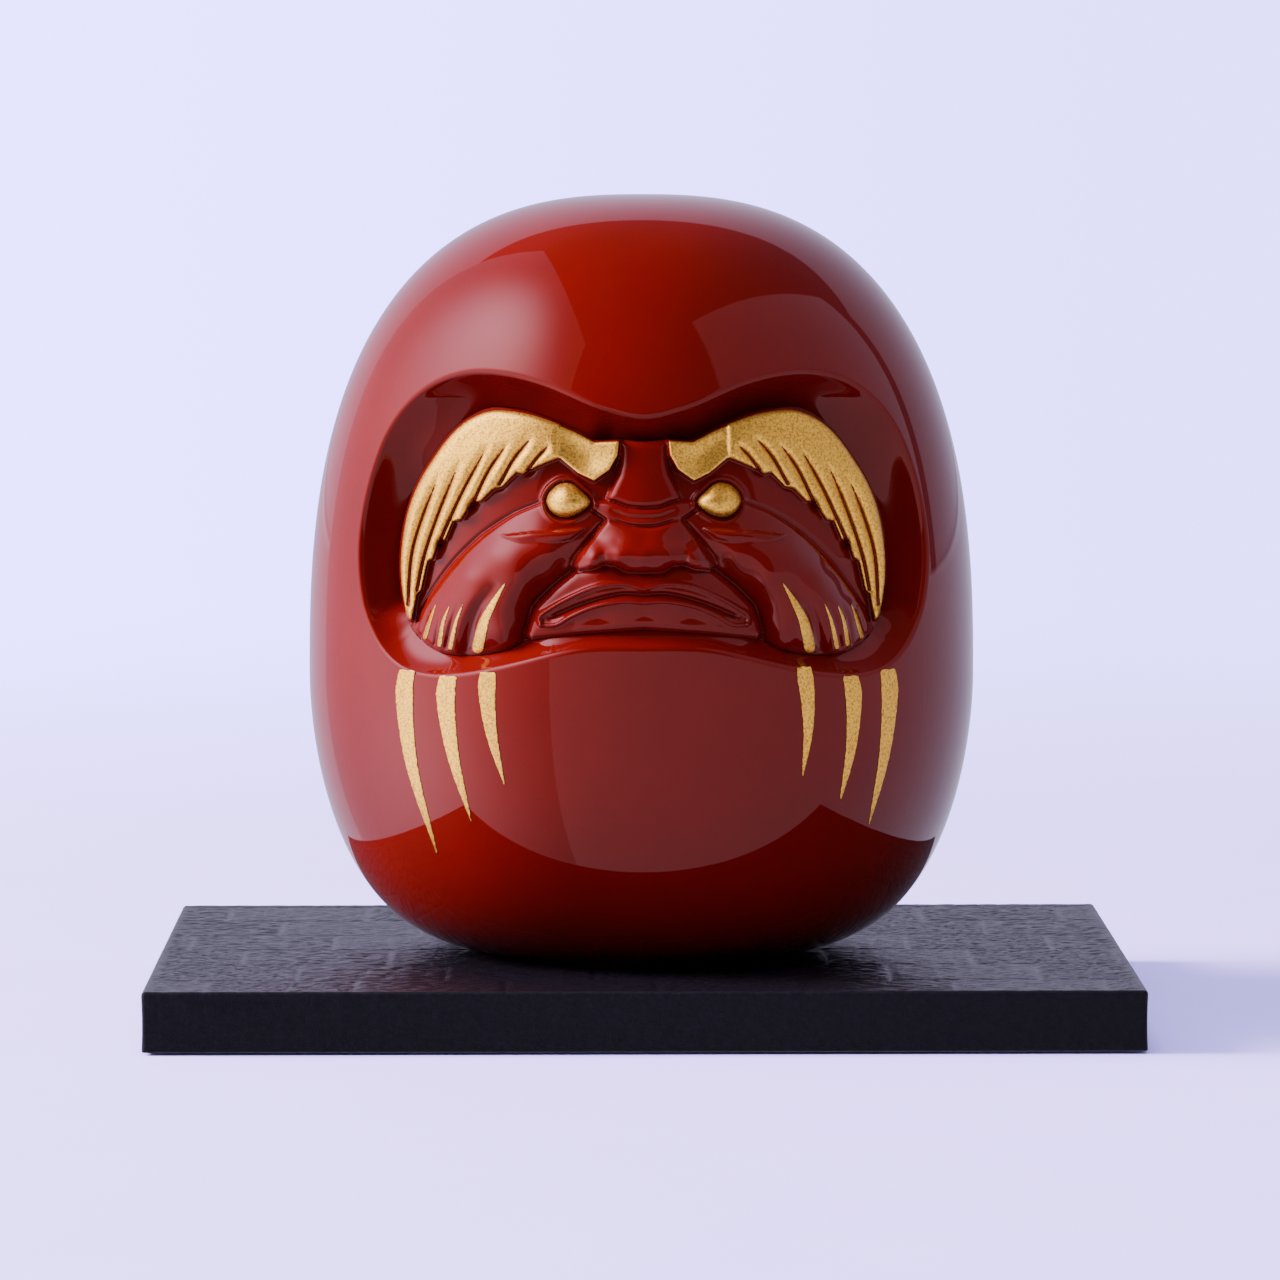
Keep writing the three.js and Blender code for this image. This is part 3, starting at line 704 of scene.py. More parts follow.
WHISKERS = {
    "left": [
        [(-42.9, 67.1), (-43.4, 63.4), (-42.3, 50.6), (-37.5, 33)],
        [(-35.3, 66.5), (-35.8, 63.1), (-34.6, 52.5), (-31.3, 40.1)],
        [(-28.1, 67.5), (-28.3, 64.3), (-27.5, 56.5), (-25.2, 47.2)],
    ],
    "right": [
        [(28.8, 68.4), (29.5, 62.8), (29.6, 56.5), (28.6, 48.3)],
        [(37.4, 66.3), (38, 62.8), (37.6, 53.5), (35.6, 43.2)],
        [(44.4, 67), (44.8, 63.2), (43.9, 51.6), (41.1, 38.4)],
    ],
}
WHISKER_WIDTHS = {"left": mm([3.3, 3.5, 3.2]), "right": mm([2.9, 3.1, 3.2])}
WHISKER_CELL = 0.25 * MM
EDGE_WOBBLE = 0.02 * MM
TOP_WOBBLE = 0.06 * MM

for side, strokes in WHISKERS.items():
    for i, (stroke, width) in enumerate(zip(strokes, WHISKER_WIDTHS[side])):
        line = mm(stroke)
        curve = smooth_curve(line)
        low, high = curve.min(axis=0) - width, curve.max(axis=0) + width
        xs = np.arange(low[0], high[0], WHISKER_CELL)
        zs = np.arange(low[1], high[1], WHISKER_CELL)
        x, z = np.meshgrid(xs, zs, indexing="ij")
        gap, share, _ = along_curve(curve, x, z)
        wobble = EDGE_WOBBLE * (np.sin(z / MM * 2.1 + i) + np.sin(x / MM * 3 + z / MM * 4.7))
        mask = width / 2 * stroke_width(share, True) - gap + wobble
        top = line[0, 1] + TOP_WOBBLE * np.sin(x / MM * 4 + i)
        mask = np.minimum(mask, top - z)
        height = np.full(x.shape, LAYER)
        back = np.full(x.shape, LAYER_BACK)
        add_layer(f"whisker_{side}_{i + 1}", xs, zs, mask, height, back, "gold")


# ---- Lacquered shell: a turned body with the rim's round edge and sloping pocket walls ----

WALL = 4 * MM
POCKET_WALL_DEPTH = 12.5 * MM
POCKET_REACH = 9 * MM
POCKET_FADE = 5 * MM
BORE_RADIUS = 25 * MM
BORE_TOP_Z = 14 * MM
HOLE_RADIUS = 20.5 * MM
CAVITY_FLOOR_Z = 17 * MM
CAVITY_TOP_Z = CROWN_Z - WALL
CAVITY_ROWS = 60
CAVITY_TIP = 6 * MM
FOOT_ROUND = 0.5 * MM
SEAT_DEPTH = 8.05 * MM

# The turned grid, and the patch of it that is cut out round the rim.
TURNS = 288
LOW_ROWS = 44
HIGH_ROWS = 92
PATCH_TURNS = 104
PATCH_MARGIN = 6 * MM
CLEAR_OF_RIM = 0.35 * MM

# The rim's fillet and the pocket's wall, which is a little hollow along its slope.
FILLET_STEPS = 8
LONGEST_FILLET = 0.45
RIM_SMOOTHING = 12
WALL_STEPS = 12
WALL_HOLLOW = 0.06

# Under the chin the wall runs out just below the carved face's edge.
CHIN_LEVELS = mm([79.5, 74])
CHIN_INSET = 0.5 * MM
CHIN_SMOOTHING = 25
EDGE_STEP = 0.5 * MM


def profile_heights(count_low, count_high):
    """Heights up the body, closer together towards the foot and the crown."""
    low = WIDEST_Z - LOWER_HEIGHT * np.sin(np.linspace(1, 0, count_low, endpoint=False) * math.pi / 2)
    high = WIDEST_Z + UPPER_HEIGHT * np.sin(np.linspace(0, 1, count_high) * math.pi / 2)
    return np.r_[FOOT_Z + FOOT_ROUND, low[low > FOOT_Z + 2 * FOOT_ROUND], high]


def body_normal(angle, z):
    """Outward unit normals of the body at angles round Z from -Y, and heights."""
    step = 0.02 * MM
    slope = (body_radius(z + step) - body_radius(z - step)) / (2 * step)
    slope = np.where(z > CROWN_Z - 2 * step, -1e6, slope)
    normal = np.stack([np.sin(angle), -np.cos(angle), -slope], axis=-1)
    return normal / np.linalg.norm(normal, axis=-1, keepdims=True)


def body_point(angle, z):
    """Points of the body's surface at angles round Z from -Y, and heights."""
    radius = body_radius(z)
    return np.stack([radius * np.sin(angle), -radius * np.cos(angle), z], axis=-1)


def around(radius, z):
    """A row of points, or of normals, at the turned grid's angles."""
    level = np.full(TURNS, z)
    return np.stack([radius * np.sin(angles), -radius * np.cos(angles), level], axis=-1)


def face_height(x, z):
    """The carved face's height above the body's surface at points, from the fine grid."""
    i = np.clip(np.abs(x) / CELL, 0, relief.shape[0] - 2)
    j = np.clip((z - face_z[0]) / CELL, 0, relief.shape[1] - 2)
    i0, j0 = i.astype(int), j.astype(int)
    i, j = i - i0, j - j0
    lower = relief[i0, j0] * (1 - i) + relief[i0 + 1, j0] * i
    upper = relief[i0, j0 + 1] * (1 - i) + relief[i0 + 1, j0 + 1] * i
    return lower * (1 - j) + upper * j


class ShellBuilder:
    """Collects vertices, normals and faces of one closed mesh."""

    def __init__(self):
        self.points = []
        self.normals = []
        self.faces = []

    def add(self, points, normals):
        """New vertices, as their numbers."""
        start = len(self.points)
        self.points.extend(np.asarray(points).tolist())
        self.normals.extend(np.asarray(normals).tolist())
        return np.arange(start, len(self.points))

    def strip(self, lower, upper, closed=True):
        """Quads between two rows of vertices, seen from the side where lower to upper is up."""
        last = len(lower) if closed else len(lower) - 1
        for k in range(last):
            following = (k + 1) % len(lower)
            corners = [lower[k], lower[following], upper[following], upper[k]]
            self.faces.append([int(corner) for corner in corners])

    def fan(self, ring, centre, upwards):
        """Triangles between a ring of vertices and the vertex in its middle."""
        for k in range(len(ring)):
            pair = [int(ring[k]), int(ring[(k + 1) % len(ring)])]
            self.faces.append((pair if upwards else pair[::-1]) + [int(centre)])


angles = np.arange(TURNS) * 2 * math.pi / TURNS - math.pi
heights = profile_heights(LOW_ROWS, HIGH_ROWS)


def mapped(spots):
    """The turned grid's (row, column) vertices on a flat map: the way round, and the height."""
    return [(angles[c] * BODY_RADIUS, heights[r]) for r, c in spots]


# The turned body, without the patch round the pocket.
shell = ShellBuilder()
body_rows = []
for z in heights[:-1]:
    level = np.full(TURNS, z)
    body_rows.append(shell.add(body_point(angles, level), body_normal(angles, level)))
crown = shell.add([[0, 0, CROWN_Z]], [[0, 0, 1]])[0]

patch_low = int(np.searchsorted(heights, RIM[:, 1].min() - PATCH_MARGIN))
patch_high = int(np.searchsorted(heights, RIM[:, 1].max() + PATCH_MARGIN))
patch_left = (TURNS - PATCH_TURNS) // 2
patch_right = (TURNS + PATCH_TURNS) // 2
beside_patch = np.r_[np.arange(patch_right, TURNS), np.arange(0, patch_left + 1)]
for row, (lower, upper) in enumerate(zip(body_rows, body_rows[1:])):
    if patch_low <= row < patch_high:
        shell.strip(lower[beside_patch], upper[beside_patch], closed=False)
    else:
        shell.strip(lower, upper)
shell.fan(body_rows[-1], crown, True)

just_inside = wall_foot + CHIN_INSET * (wall_foot - rim_loop) / wall_width[:, None]
edge_depth = EDGE_STEP - face_height(just_inside[:, 0], just_inside[:, 1])
edge_depth = smoothed_round(edge_depth, CHIN_SMOOTHING)
chin = np.interp(-wall_foot[:, 1], -CHIN_LEVELS, [0, 1])
foot_depth = foot_depth + (np.minimum(foot_depth, edge_depth) - foot_depth) * chin

# The rim's rounded edge: an arc that leaves the body's surface and meets the wall.
rim_angle = np.arcsin(np.clip(rim_loop[:, 0] / body_radius(rim_loop[:, 1]), -1, 1))
rim_points = body_point(rim_angle, rim_loop[:, 1])
rim_normals = body_normal(rim_angle, rim_loop[:, 1])
foot_points = surface_points(wall_foot, -foot_depth)
along_rim = np.roll(rim_points, -1, axis=0) - np.roll(rim_points, 1, axis=0)
along_rim /= np.linalg.norm(along_rim, axis=1, keepdims=True)
down_wall = foot_points - rim_points
wall_length = np.linalg.norm(down_wall, axis=1, keepdims=True)
down_wall /= wall_length
outward = np.cross(along_rim, rim_normals)
if np.sum(outward * down_wall) > 0:
    outward = -outward
turn = np.arccos(np.clip(np.sum(-outward * down_wall, axis=1), -1, 1))[:, None]
tangent = np.minimum(RIM_RADIUS * np.tan(turn / 2), LONGEST_FILLET * wall_length)
start = rim_points + outward * tangent
for _ in range(RIM_SMOOTHING):
    start = (np.roll(start, 1, axis=0) + 2 * start + np.roll(start, -1, axis=0)) / 4
start_angle = np.arctan2(start[:, 0], -start[:, 1])
start = body_point(start_angle, start[:, 2])
end = rim_points + down_wall * tangent
wall_facing = np.cross(along_rim, down_wall)
wall_facing *= np.sign(np.sum(wall_facing * rim_normals, axis=1, keepdims=True))

loops = []
for t in np.linspace(0, 1, FILLET_STEPS):
    loops.append((1 - t) ** 2 * start + 2 * t * (1 - t) * rim_points + t ** 2 * end)
for t in np.linspace(0, 1, WALL_STEPS + 1)[1:]:
    hollow = WALL_HOLLOW * wall_length * math.sin(math.pi * t) * wall_facing
    loops.append(end + (foot_points - end) * t - hollow)

# Normals of the wall, from its own grid of points.
grid = np.array(loops)
along_loop = np.roll(grid, -1, axis=1) - np.roll(grid, 1, axis=1)
wall_normals = np.cross(along_loop, np.gradient(grid, axis=0))
wall_normals /= np.linalg.norm(wall_normals, axis=2, keepdims=True)
if np.sum(wall_normals[0] * rim_normals) < 0:
    wall_normals = -wall_normals
wall_normals[0] = body_normal(start_angle, start[:, 2])
loop_ids = [shell.add(loop, normals) for loop, normals in zip(loops, wall_normals)]
for outer_ids, inner_ids in zip(loop_ids, loop_ids[1:]):
    shell.strip(outer_ids, inner_ids)

# The body's surface between the turned grid and the rim, joined in the body's flat map.
patch_columns = np.arange(patch_left, patch_right + 1)
patch_rows = np.arange(patch_low, patch_high + 1)
border = (
    [(patch_low, c) for c in patch_columns[:-1]]
    + [(r, patch_right) for r in patch_rows[:-1]]
    + [(patch_high, c) for c in patch_columns[::-1][:-1]]
    + [(r, patch_left) for r in patch_rows[::-1][:-1]]
)
start_loop = np.stack([start_angle * BODY_RADIUS, start[:, 2]], axis=1)
inner = [(r, c) for r in patch_rows[1:-1] for c in patch_columns[1:-1]]
clear = inside_distance(start_loop, *np.array(mapped(inner)).T) < -CLEAR_OF_RIM
inner = [spot for spot, is_clear in zip(inner, clear) if is_clear]
flat_points = mapped(border) + start_loop.tolist() + mapped(inner)
flat_ids = [int(body_rows[r][c]) for r, c in border]
flat_ids += loop_ids[0].tolist()
flat_ids += [int(body_rows[r][c]) for r, c in inner]
edges = loop_edges(0, len(border)) + loop_edges(len(border), LOOP_POINTS)
patch_faces = triangulated(flat_points, edges)
middle_x, middle_z = np.array(flat_points)[patch_faces].mean(axis=1).T
for face, in_pocket in zip(patch_faces, is_inside(start_loop, middle_x, middle_z)):
    if not in_pocket:
        shell.faces.append([flat_ids[k] for k in face])

# The seat behind the carved face.
seat_flat, seat_faces = cap_inside(wall_foot)
seat_points = surface_points(seat_flat, -SEAT_DEPTH)
seat_ids = shell.add(seat_points, np.tile([0, -1, 0], (len(seat_points), 1)))
shell.strip(loop_ids[-1], seat_ids[:LOOP_POINTS])
for face in seat_faces:
    shell.faces.append([int(seat_ids[k]) for k in face])

# The foot, the bore for the base plate, and the hollow inside. Each row has a radius and a
# height, and the same two parts of its normal.
foot_radius = float(body_radius(FOOT_Z))
level_rows = []
for radius, z, normal_radius, normal_z in [
    (foot_radius - 0.3 * MM, FOOT_Z + 0.12 * MM, 0.7, -0.7),
    (foot_radius - 0.9 * MM, FOOT_Z, 0, -1),
    (BORE_RADIUS, FOOT_Z, 0, -1),
    (BORE_RADIUS, BORE_TOP_Z, -1, 0),
    (HOLE_RADIUS, BORE_TOP_Z, 0, -1),
    (HOLE_RADIUS, CAVITY_FLOOR_Z, -1, 0),
    (HOLE_RADIUS + 4 * MM, CAVITY_FLOOR_Z, 0, 1),
]:
    level_rows.append(shell.add(around(radius, z), around(normal_radius, normal_z)))
for upper, lower in zip([body_rows[0]] + level_rows, level_rows):
    shell.strip(lower, upper)

hollow_rows = []
for z in np.linspace(CAVITY_FLOOR_Z, CAVITY_TOP_Z - MM, CAVITY_ROWS):
    from_rim = inside_distance(rim_loop, body_radius(z) * np.sin(angles), np.full(TURNS, z))
    behind_pocket = (np.cos(angles) > 0) * eased((from_rim + POCKET_REACH) / POCKET_FADE)
    depth = WALL + (POCKET_WALL_DEPTH - WALL) * behind_pocket
    outer_z = z + (z - CAVITY_FLOOR_Z) / (CAVITY_TOP_Z - CAVITY_FLOOR_Z) * WALL
    radius = np.maximum(body_radius(outer_z) - depth, CAVITY_TIP)
    hollow_rows.append(shell.add(around(radius, z), around(-1, 0)))
shell.strip(hollow_rows[0], level_rows[-1])
for lower, upper in zip(hollow_rows, hollow_rows[1:]):
    shell.strip(upper, lower)
hollow_top = shell.add([[0, 0, CAVITY_TOP_Z]], [[0, 0, -1]])[0]
shell.fan(hollow_rows[-1], hollow_top, False)
add_mesh(
    "lacquer_shell", shell.points, shell.faces, "doll", "lacquer", ["lacquer_shell"], shell.normals,
)


# ---- Display board: embossed paper wrapped round a fibreboard core ----

PAPER = 0.5 * MM
TURN_IN = 12 * MM
EDGE_ROUND = 0.7 * MM
FOOT_EDGE_ROUND = 0.3 * MM
BOARD_CELL = 0.6 * MM
ROW_DEPTH = 23.7 * MM
FIRST_JOINT = 17.8 * MM
BLOCK_WIDTH = 27 * MM
BLOCK_SHIFT = 11 * MM
JOINT_WIDTH = 0.55 * MM
JOINT_DEPTH = 0.35 * MM
PEBBLE_SIZE = 2.2 * MM
PEBBLE_DEPTH = 0.2 * MM
PEBBLE_GAP = 0.4 * MM
GRAIN_GAP = 0.3 * MM
STRETCHED = 2.6
CALM_EDGE = 1.5 * MM
RIPPLE = 0.1 * MM
SIDE_HOLLOW = 0.12 * MM
CORE_GAP = 0.02 * MM
CORNER_STEPS = 5
ROUND_STEPS = 5
SIDE_RINGS = 15
FOOT_STEPS = 4
LAP_LENGTH = 9 * MM
LAP_STEP = 0.22 * MM
LAP_EDGE = 0.6 * MM
CREASE_ENDS = (-83 * MM, -60 * MM)
CREASE_DROP = 2.4 * MM
CREASE_DENT = 0.35 * MM


def cell_gap(x, y, size, seed):
    """How much nearer the nearest of scattered cell centres is than the next one."""
    # The sines' large factors scatter each cell's centre as if by chance.
    i, j = np.floor(x / size).astype(int), np.floor(y / size).astype(int)
    nearest = np.full(x.shape, np.inf)
    second = np.full(x.shape, np.inf)
    for di in (-1, 0, 1):
        for dj in (-1, 0, 1):
            column, row = i + di, j + dj
            shift_x = np.modf(np.abs(np.sin(column * 12.99 + row * 78.23 + seed) * 43758.5))[0]
            shift_y = np.modf(np.abs(np.sin(column * 39.35 + row * 11.13 + seed) * 24634.6))[0]
            distance = np.hypot(x - (column + shift_x) * size, y - (row + shift_y) * size)
            second = np.minimum(second, np.maximum(nearest, distance))
            nearest = np.minimum(nearest, distance)
    return second - nearest


def board_relief(x, y):
    """Depth pressed into the paper at points on the board's top."""
    from_front = y - BOARD_LOW.y
    row = np.floor((from_front - FIRST_JOINT) / ROW_DEPTH).astype(int)
    in_row = (from_front - FIRST_JOINT) / ROW_DEPTH - row
    along = (x - BOARD_LOW.x + row * BLOCK_SHIFT) / BLOCK_WIDTH
    block = np.floor(along).astype(int)
    across_joint = np.minimum(in_row, 1 - in_row) * ROW_DEPTH
    end_joint = np.minimum(along - block, 1 + block - along) * BLOCK_WIDTH
    joint = np.exp(-(np.minimum(across_joint, end_joint) / JOINT_WIDTH) ** 2)
    # The blocks take turns between pebbles, stretched pebbles and grains.
    kind = block % 3
    stretch = np.where(kind == 1, STRETCHED, 1)
    pebbles = np.exp(-(cell_gap(x / stretch, y, PEBBLE_SIZE, 4.2) / PEBBLE_GAP) ** 2)
    grains = 0.5 * np.exp(-(cell_gap(x, y * 1.3, PEBBLE_SIZE / 2, 1.7) / GRAIN_GAP) ** 2)
    pressed = np.where(kind == 2, grains, pebbles)
    wave = 0.5 * (np.sin(x / MM * 0.9 + 2 * np.sin(y / MM * 0.5)) * np.sin(y / MM * 1.1) + 1)
    return JOINT_DEPTH * joint + PEBBLE_DEPTH * (pressed + wave) * (1 - joint)


board_width = BOARD_HIGH.x - BOARD_LOW.x
board_depth = BOARD_HIGH.y - BOARD_LOW.y
flat_width = board_width - 2 * EDGE_ROUND
flat_depth = board_depth - 2 * EDGE_ROUND
nx = int(round(flat_width / BOARD_CELL))
ny = int(round(flat_depth / BOARD_CELL))
xs = np.linspace(-flat_width / 2, flat_width / 2, nx + 1)
ys = np.linspace(-flat_depth / 2, flat_depth / 2, ny + 1)
TX, TY = np.meshgrid(xs, ys, indexing="ij")
from_edge = np.minimum(flat_width / 2 - np.abs(TX), flat_depth / 2 - np.abs(TY))
calm = np.clip(from_edge / CALM_EDGE, 0, 1)
TZ = BOARD_HIGH.z - board_relief(TX, TY) * (0.25 + 0.75 * calm)
points = np.stack([TX, TY, TZ], axis=-1).reshape(-1, 3).tolist()
faces = []
for i in range(nx):
    for j in range(ny):
        k = i * (ny + 1) + j
        faces.append([k, k + ny + 1, k + ny + 2, k + 1])

# The top grid's border, front to right to back to left, with arcs of points at the corners.
border = [(i, 0) for i in range(nx)] + [(nx, j) for j in range(ny)]
border += [(i, ny) for i in range(nx, 0, -1)] + [(0, j) for j in range(ny, 0, -1)]
ring_ids, ring_centres, ring_directions = [], [], []
for i, j in border:
    x, y = xs[i], ys[j]
    k = i * (ny + 1) + j
    if i in (0, nx) and j in (0, ny):
        middle = math.atan2(math.copysign(1, y), math.copysign(1, x))
        turns = middle + np.linspace(-1, 1, CORNER_STEPS) * math.pi / 4
        found = [(math.cos(turn), math.sin(turn)) for turn in turns]
    elif j in (0, ny):
        found = [(0, math.copysign(1, y))]
    else:
        found = [(math.copysign(1, x), 0)]
    for direction in found:
        ring_ids.append(k)
        ring_centres.append((x, y, points[k][2]))
        ring_directions.append(direction)
ring_centres = np.array(ring_centres)
ring_directions = np.array(ring_directions)
count = len(ring_ids)
ring_x, ring_y, top_z = ring_centres.T
ripple = RIPPLE * np.abs(
    np.sin(ring_x / MM * 0.21 + 1) * np.sin(ring_y / MM * 0.17 + 2)
    + 0.5 * np.sin(ring_x / MM * 0.9 + ring_y / MM * 0.7)
)


def board_ring(out, z, inwards=0):
    """A loop of points a distance outside the flat top's border, at a height."""
    moved = ring_centres[:, :2] + ring_directions * out
    if inwards:
        half = np.array([board_width, board_depth]) / 2 - inwards
        moved = np.clip(moved, -half, half)
    return np.column_stack([moved, np.broadcast_to(z, count)])


def add_ring(ring_points):
    """New points, as the list of their numbers."""
    start = len(points)
    points.extend(ring_points.tolist())
    return list(range(start, start + count))


# The paper's laps near the side's corners, and the crease in the front's upper edge.
on_side = np.abs(ring_directions[:, 0]) > 0.99
on_front = ring_directions[:, 1] < -0.99
from_end = board_depth / 2 - np.abs(ring_y)
lap_in = LAP_STEP * on_side * np.clip((from_end - LAP_LENGTH) / LAP_EDGE, 0, 1)
crease_share = (ring_x - CREASE_ENDS[0]) / (CREASE_ENDS[1] - CREASE_ENDS[0])
crease = np.sin(math.pi * np.clip(crease_share, 0, 1)) * on_front

# The rings of the rounded edge, the side, the lower edge and the turn-ins.
rings = [ring_ids]
for turn in np.linspace(0, math.pi / 2, ROUND_STEPS + 1)[1:]:
    fall = EDGE_ROUND * (1 - math.cos(turn))
    rings.append(add_ring(board_ring(EDGE_ROUND * math.sin(turn), top_z - fall - 0.3 * ripple)))
side_top = BOARD_HIGH.z - 2 * EDGE_ROUND
side_end = BOARD_LOW.z + FOOT_EDGE_ROUND
for share in np.linspace(0, 1, SIDE_RINGS):
    z = side_top + (side_end - side_top) * share
    hollow = SIDE_HOLLOW * math.sin(math.pi * share)
    dent = CREASE_DENT * crease * np.clip(1 - (side_top - z) / (CREASE_DROP * crease + 1e-6), 0, 1)
    inwards_by = hollow + 0.4 * ripple + lap_in * min(1, 4 * share) + dent
    rings.append(add_ring(board_ring(EDGE_ROUND - inwards_by[:, None], z)))
for turn in np.linspace(0, math.pi / 2, FOOT_STEPS + 1)[1:]:
    out = EDGE_ROUND - FOOT_EDGE_ROUND * (1 - math.cos(turn))
    rings.append(add_ring(board_ring(out, BOARD_LOW.z + FOOT_EDGE_ROUND * (1 - math.sin(turn)))))
for inwards, z in [
    (TURN_IN, BOARD_LOW.z),
    (TURN_IN, BOARD_LOW.z + PAPER - CORE_GAP),
    (PAPER, BOARD_LOW.z + PAPER - CORE_GAP),
    (PAPER, BOARD_HIGH.z - PAPER + CORE_GAP),
]:
    rings.append(add_ring(board_ring(0, z, inwards)))
for upper, lower in zip(rings, rings[1:]):
    for k in range(count):
        following = (k + 1) % count
        corners = [upper[k], lower[k], lower[following], upper[following]]
        # At a corner of the top the grid has one point for several of the ring's.
        faces.append([c for n, c in enumerate(corners) if c not in corners[:n]])
faces.append(rings[-1][::-1])
add_mesh("board_wrap", points, faces, "stand", "embossed_paper", ["board_wrap"])


# ---- Materials ----

def shader(name, color, roughness, metallic=0.0, **sockets):
    """A node material whose principled shader has these values."""
    material = bpy.data.materials.new(name)
    material.use_nodes = True
    bsdf = material.node_tree.nodes["Principled BSDF"]
    bsdf.inputs["Base Color"].default_value = (*color, 1)
    bsdf.inputs["Roughness"].default_value = roughness
    bsdf.inputs["Metallic"].default_value = metallic
    for socket, value in sockets.items():
        bsdf.inputs[socket.replace("_", " ")].default_value = value
    return material, material.node_tree, bsdf


def add_node(tree, kind, inputs=None, **settings):
    """A node with its properties and input values set; an input may be another node's socket."""
    node = tree.nodes.new(kind)
    for name, value in settings.items():
        setattr(node, name, value)
    for name, value in (inputs or {}).items():
        if isinstance(value, bpy.types.NodeSocket):
            tree.links.new(value, node.inputs[name])
        else:
            node.inputs[name].default_value = value
    return node


def noise(tree, scale, detail=4, roughness=0.6, stretch=(1, 1, 1)):
    """A noise texture in millimetres of the object's own space, as its factor socket."""
    place = add_node(tree, "ShaderNodeTexCoord").outputs["Object"]
    sized = add_node(tree, "ShaderNodeMapping", {"Vector": place, "Scale": [s / MM for s in stretch]})
    inputs = {"Vector": sized.outputs["Vector"], "Scale": scale, "Detail": detail}
    inputs["Roughness"] = roughness
    return add_node(tree, "ShaderNodeTexNoise", inputs).outputs["Fac"]


def ramp(tree, factor, stops):
    """A colour ramp with (position, colour) stops."""
    node = add_node(tree, "ShaderNodeValToRGB", {"Fac": factor})
    elements = node.color_ramp.elements
    while len(elements) < len(stops):
        elements.new(0.5)
    for element, (position, color) in zip(elements, stops):
        element.position = position
        element.color = (*color, 1)
    return node.outputs["Color"]


def remap(tree, factor, low, high):
    """A factor from 0 to 1 as a number from low to high."""
    inputs = {"Value": factor, "To Min": low, "To Max": high}
    return add_node(tree, "ShaderNodeMapRange", inputs).outputs["Result"]


def bump(tree, bsdf, height, distance, strength):
    """Bends a shader's normals by a height factor."""
    inputs = {"Height": height, "Distance": distance, "Strength": strength}
    node = add_node(tree, "ShaderNodeBump", inputs)
    tree.links.new(node.outputs["Normal"], bsdf.inputs["Normal"])


def drive(tree, bsdf, color, roughness):
    """Links a shader's colour and roughness to two sockets."""
    tree.links.new(color, bsdf.inputs["Base Color"])
    tree.links.new(roughness, bsdf.inputs["Roughness"])


LACQUER_DARK = (0.058, 0.0018, 0.0006)
LACQUER_LIGHT = (0.07, 0.0023, 0.0008)
LACQUER_GLOSS = (1, 0.5, 0.38)
LACQUER_IOR = 1.42
GOLD_DARK = (0.28, 0.14, 0.012)
GOLD_LIGHT = (0.86, 0.49, 0.045)
GOLD_METALLIC = 0.88
PAPER_DARK = (0.002, 0.0022, 0.0024)
PAPER_LIGHT = (0.005, 0.0055, 0.006)
PAPER_GLOSS = (0.14, 0.14, 0.09)


def make_lacquer():
    """Deep red gloss with faint clouds in its colour and a slow unevenness."""
    material, tree, bsdf = shader("lacquer", LACQUER_LIGHT, 0.03, IOR=LACQUER_IOR)
    bsdf.inputs["Specular Tint"].default_value = (*LACQUER_GLOSS, 1)
    color = ramp(tree, noise(tree, 0.035, 3), [(0.3, LACQUER_DARK), (0.7, LACQUER_LIGHT)])
    drive(tree, bsdf, color, remap(tree, noise(tree, 0.3, 2), 0.01, 0.03))
    bump(tree, bsdf, noise(tree, 0.16, 2), 0.01 * MM, 0.5)
    return material


def make_gold():
    """Gold powder on lacquer: bright flakes over a brown ground."""
    material, tree, bsdf = shader("gold", GOLD_LIGHT, 0.4, GOLD_METALLIC)
    grain = noise(tree, 2.4, 6, 0.7)
    color = ramp(tree, grain, [(0.34, GOLD_DARK), (0.56, GOLD_LIGHT)])
    drive(tree, bsdf, color, remap(tree, noise(tree, 1.4, 4), 0.24, 0.38))
    bump(tree, bsdf, grain, 0.08 * MM, 0.8)
    return material


def make_embossed_paper():
    """Black paper with short fibres and a dull, uneven gloss."""
    material, tree, bsdf = shader("embossed_paper", PAPER_LIGHT, 0.4)
    bsdf.inputs["Specular Tint"].default_value = (*PAPER_GLOSS, 1)
    fibres = noise(tree, 1.1, 6, 0.75, (1, 2.4, 1))
    color = ramp(tree, fibres, [(0.3, PAPER_DARK), (0.75, PAPER_LIGHT)])
    drive(tree, bsdf, color, remap(tree, noise(tree, 0.5, 4), 0.22, 0.42))
    bump(tree, bsdf, fibres, 0.22 * MM, 0.9)
    return material


def make_grained(name, dark, light, scale, roughness, depth, metallic=0.0, stretch=(1, 1, 1)):
    """A material with grain in its colour, its gloss and its surface."""
    material, tree, bsdf = shader(name, light, roughness, metallic)
    grain = noise(tree, scale, 6, 0.65, stretch)
    color = ramp(tree, grain, [(0.3, dark), (0.7, light)])
    low, high = roughness - 0.08, min(roughness + 0.08, 1)
    drive(tree, bsdf, color, remap(tree, noise(tree, scale / 3, 3), low, high))
    bump(tree, bsdf, grain, depth, 0.8)
    return material


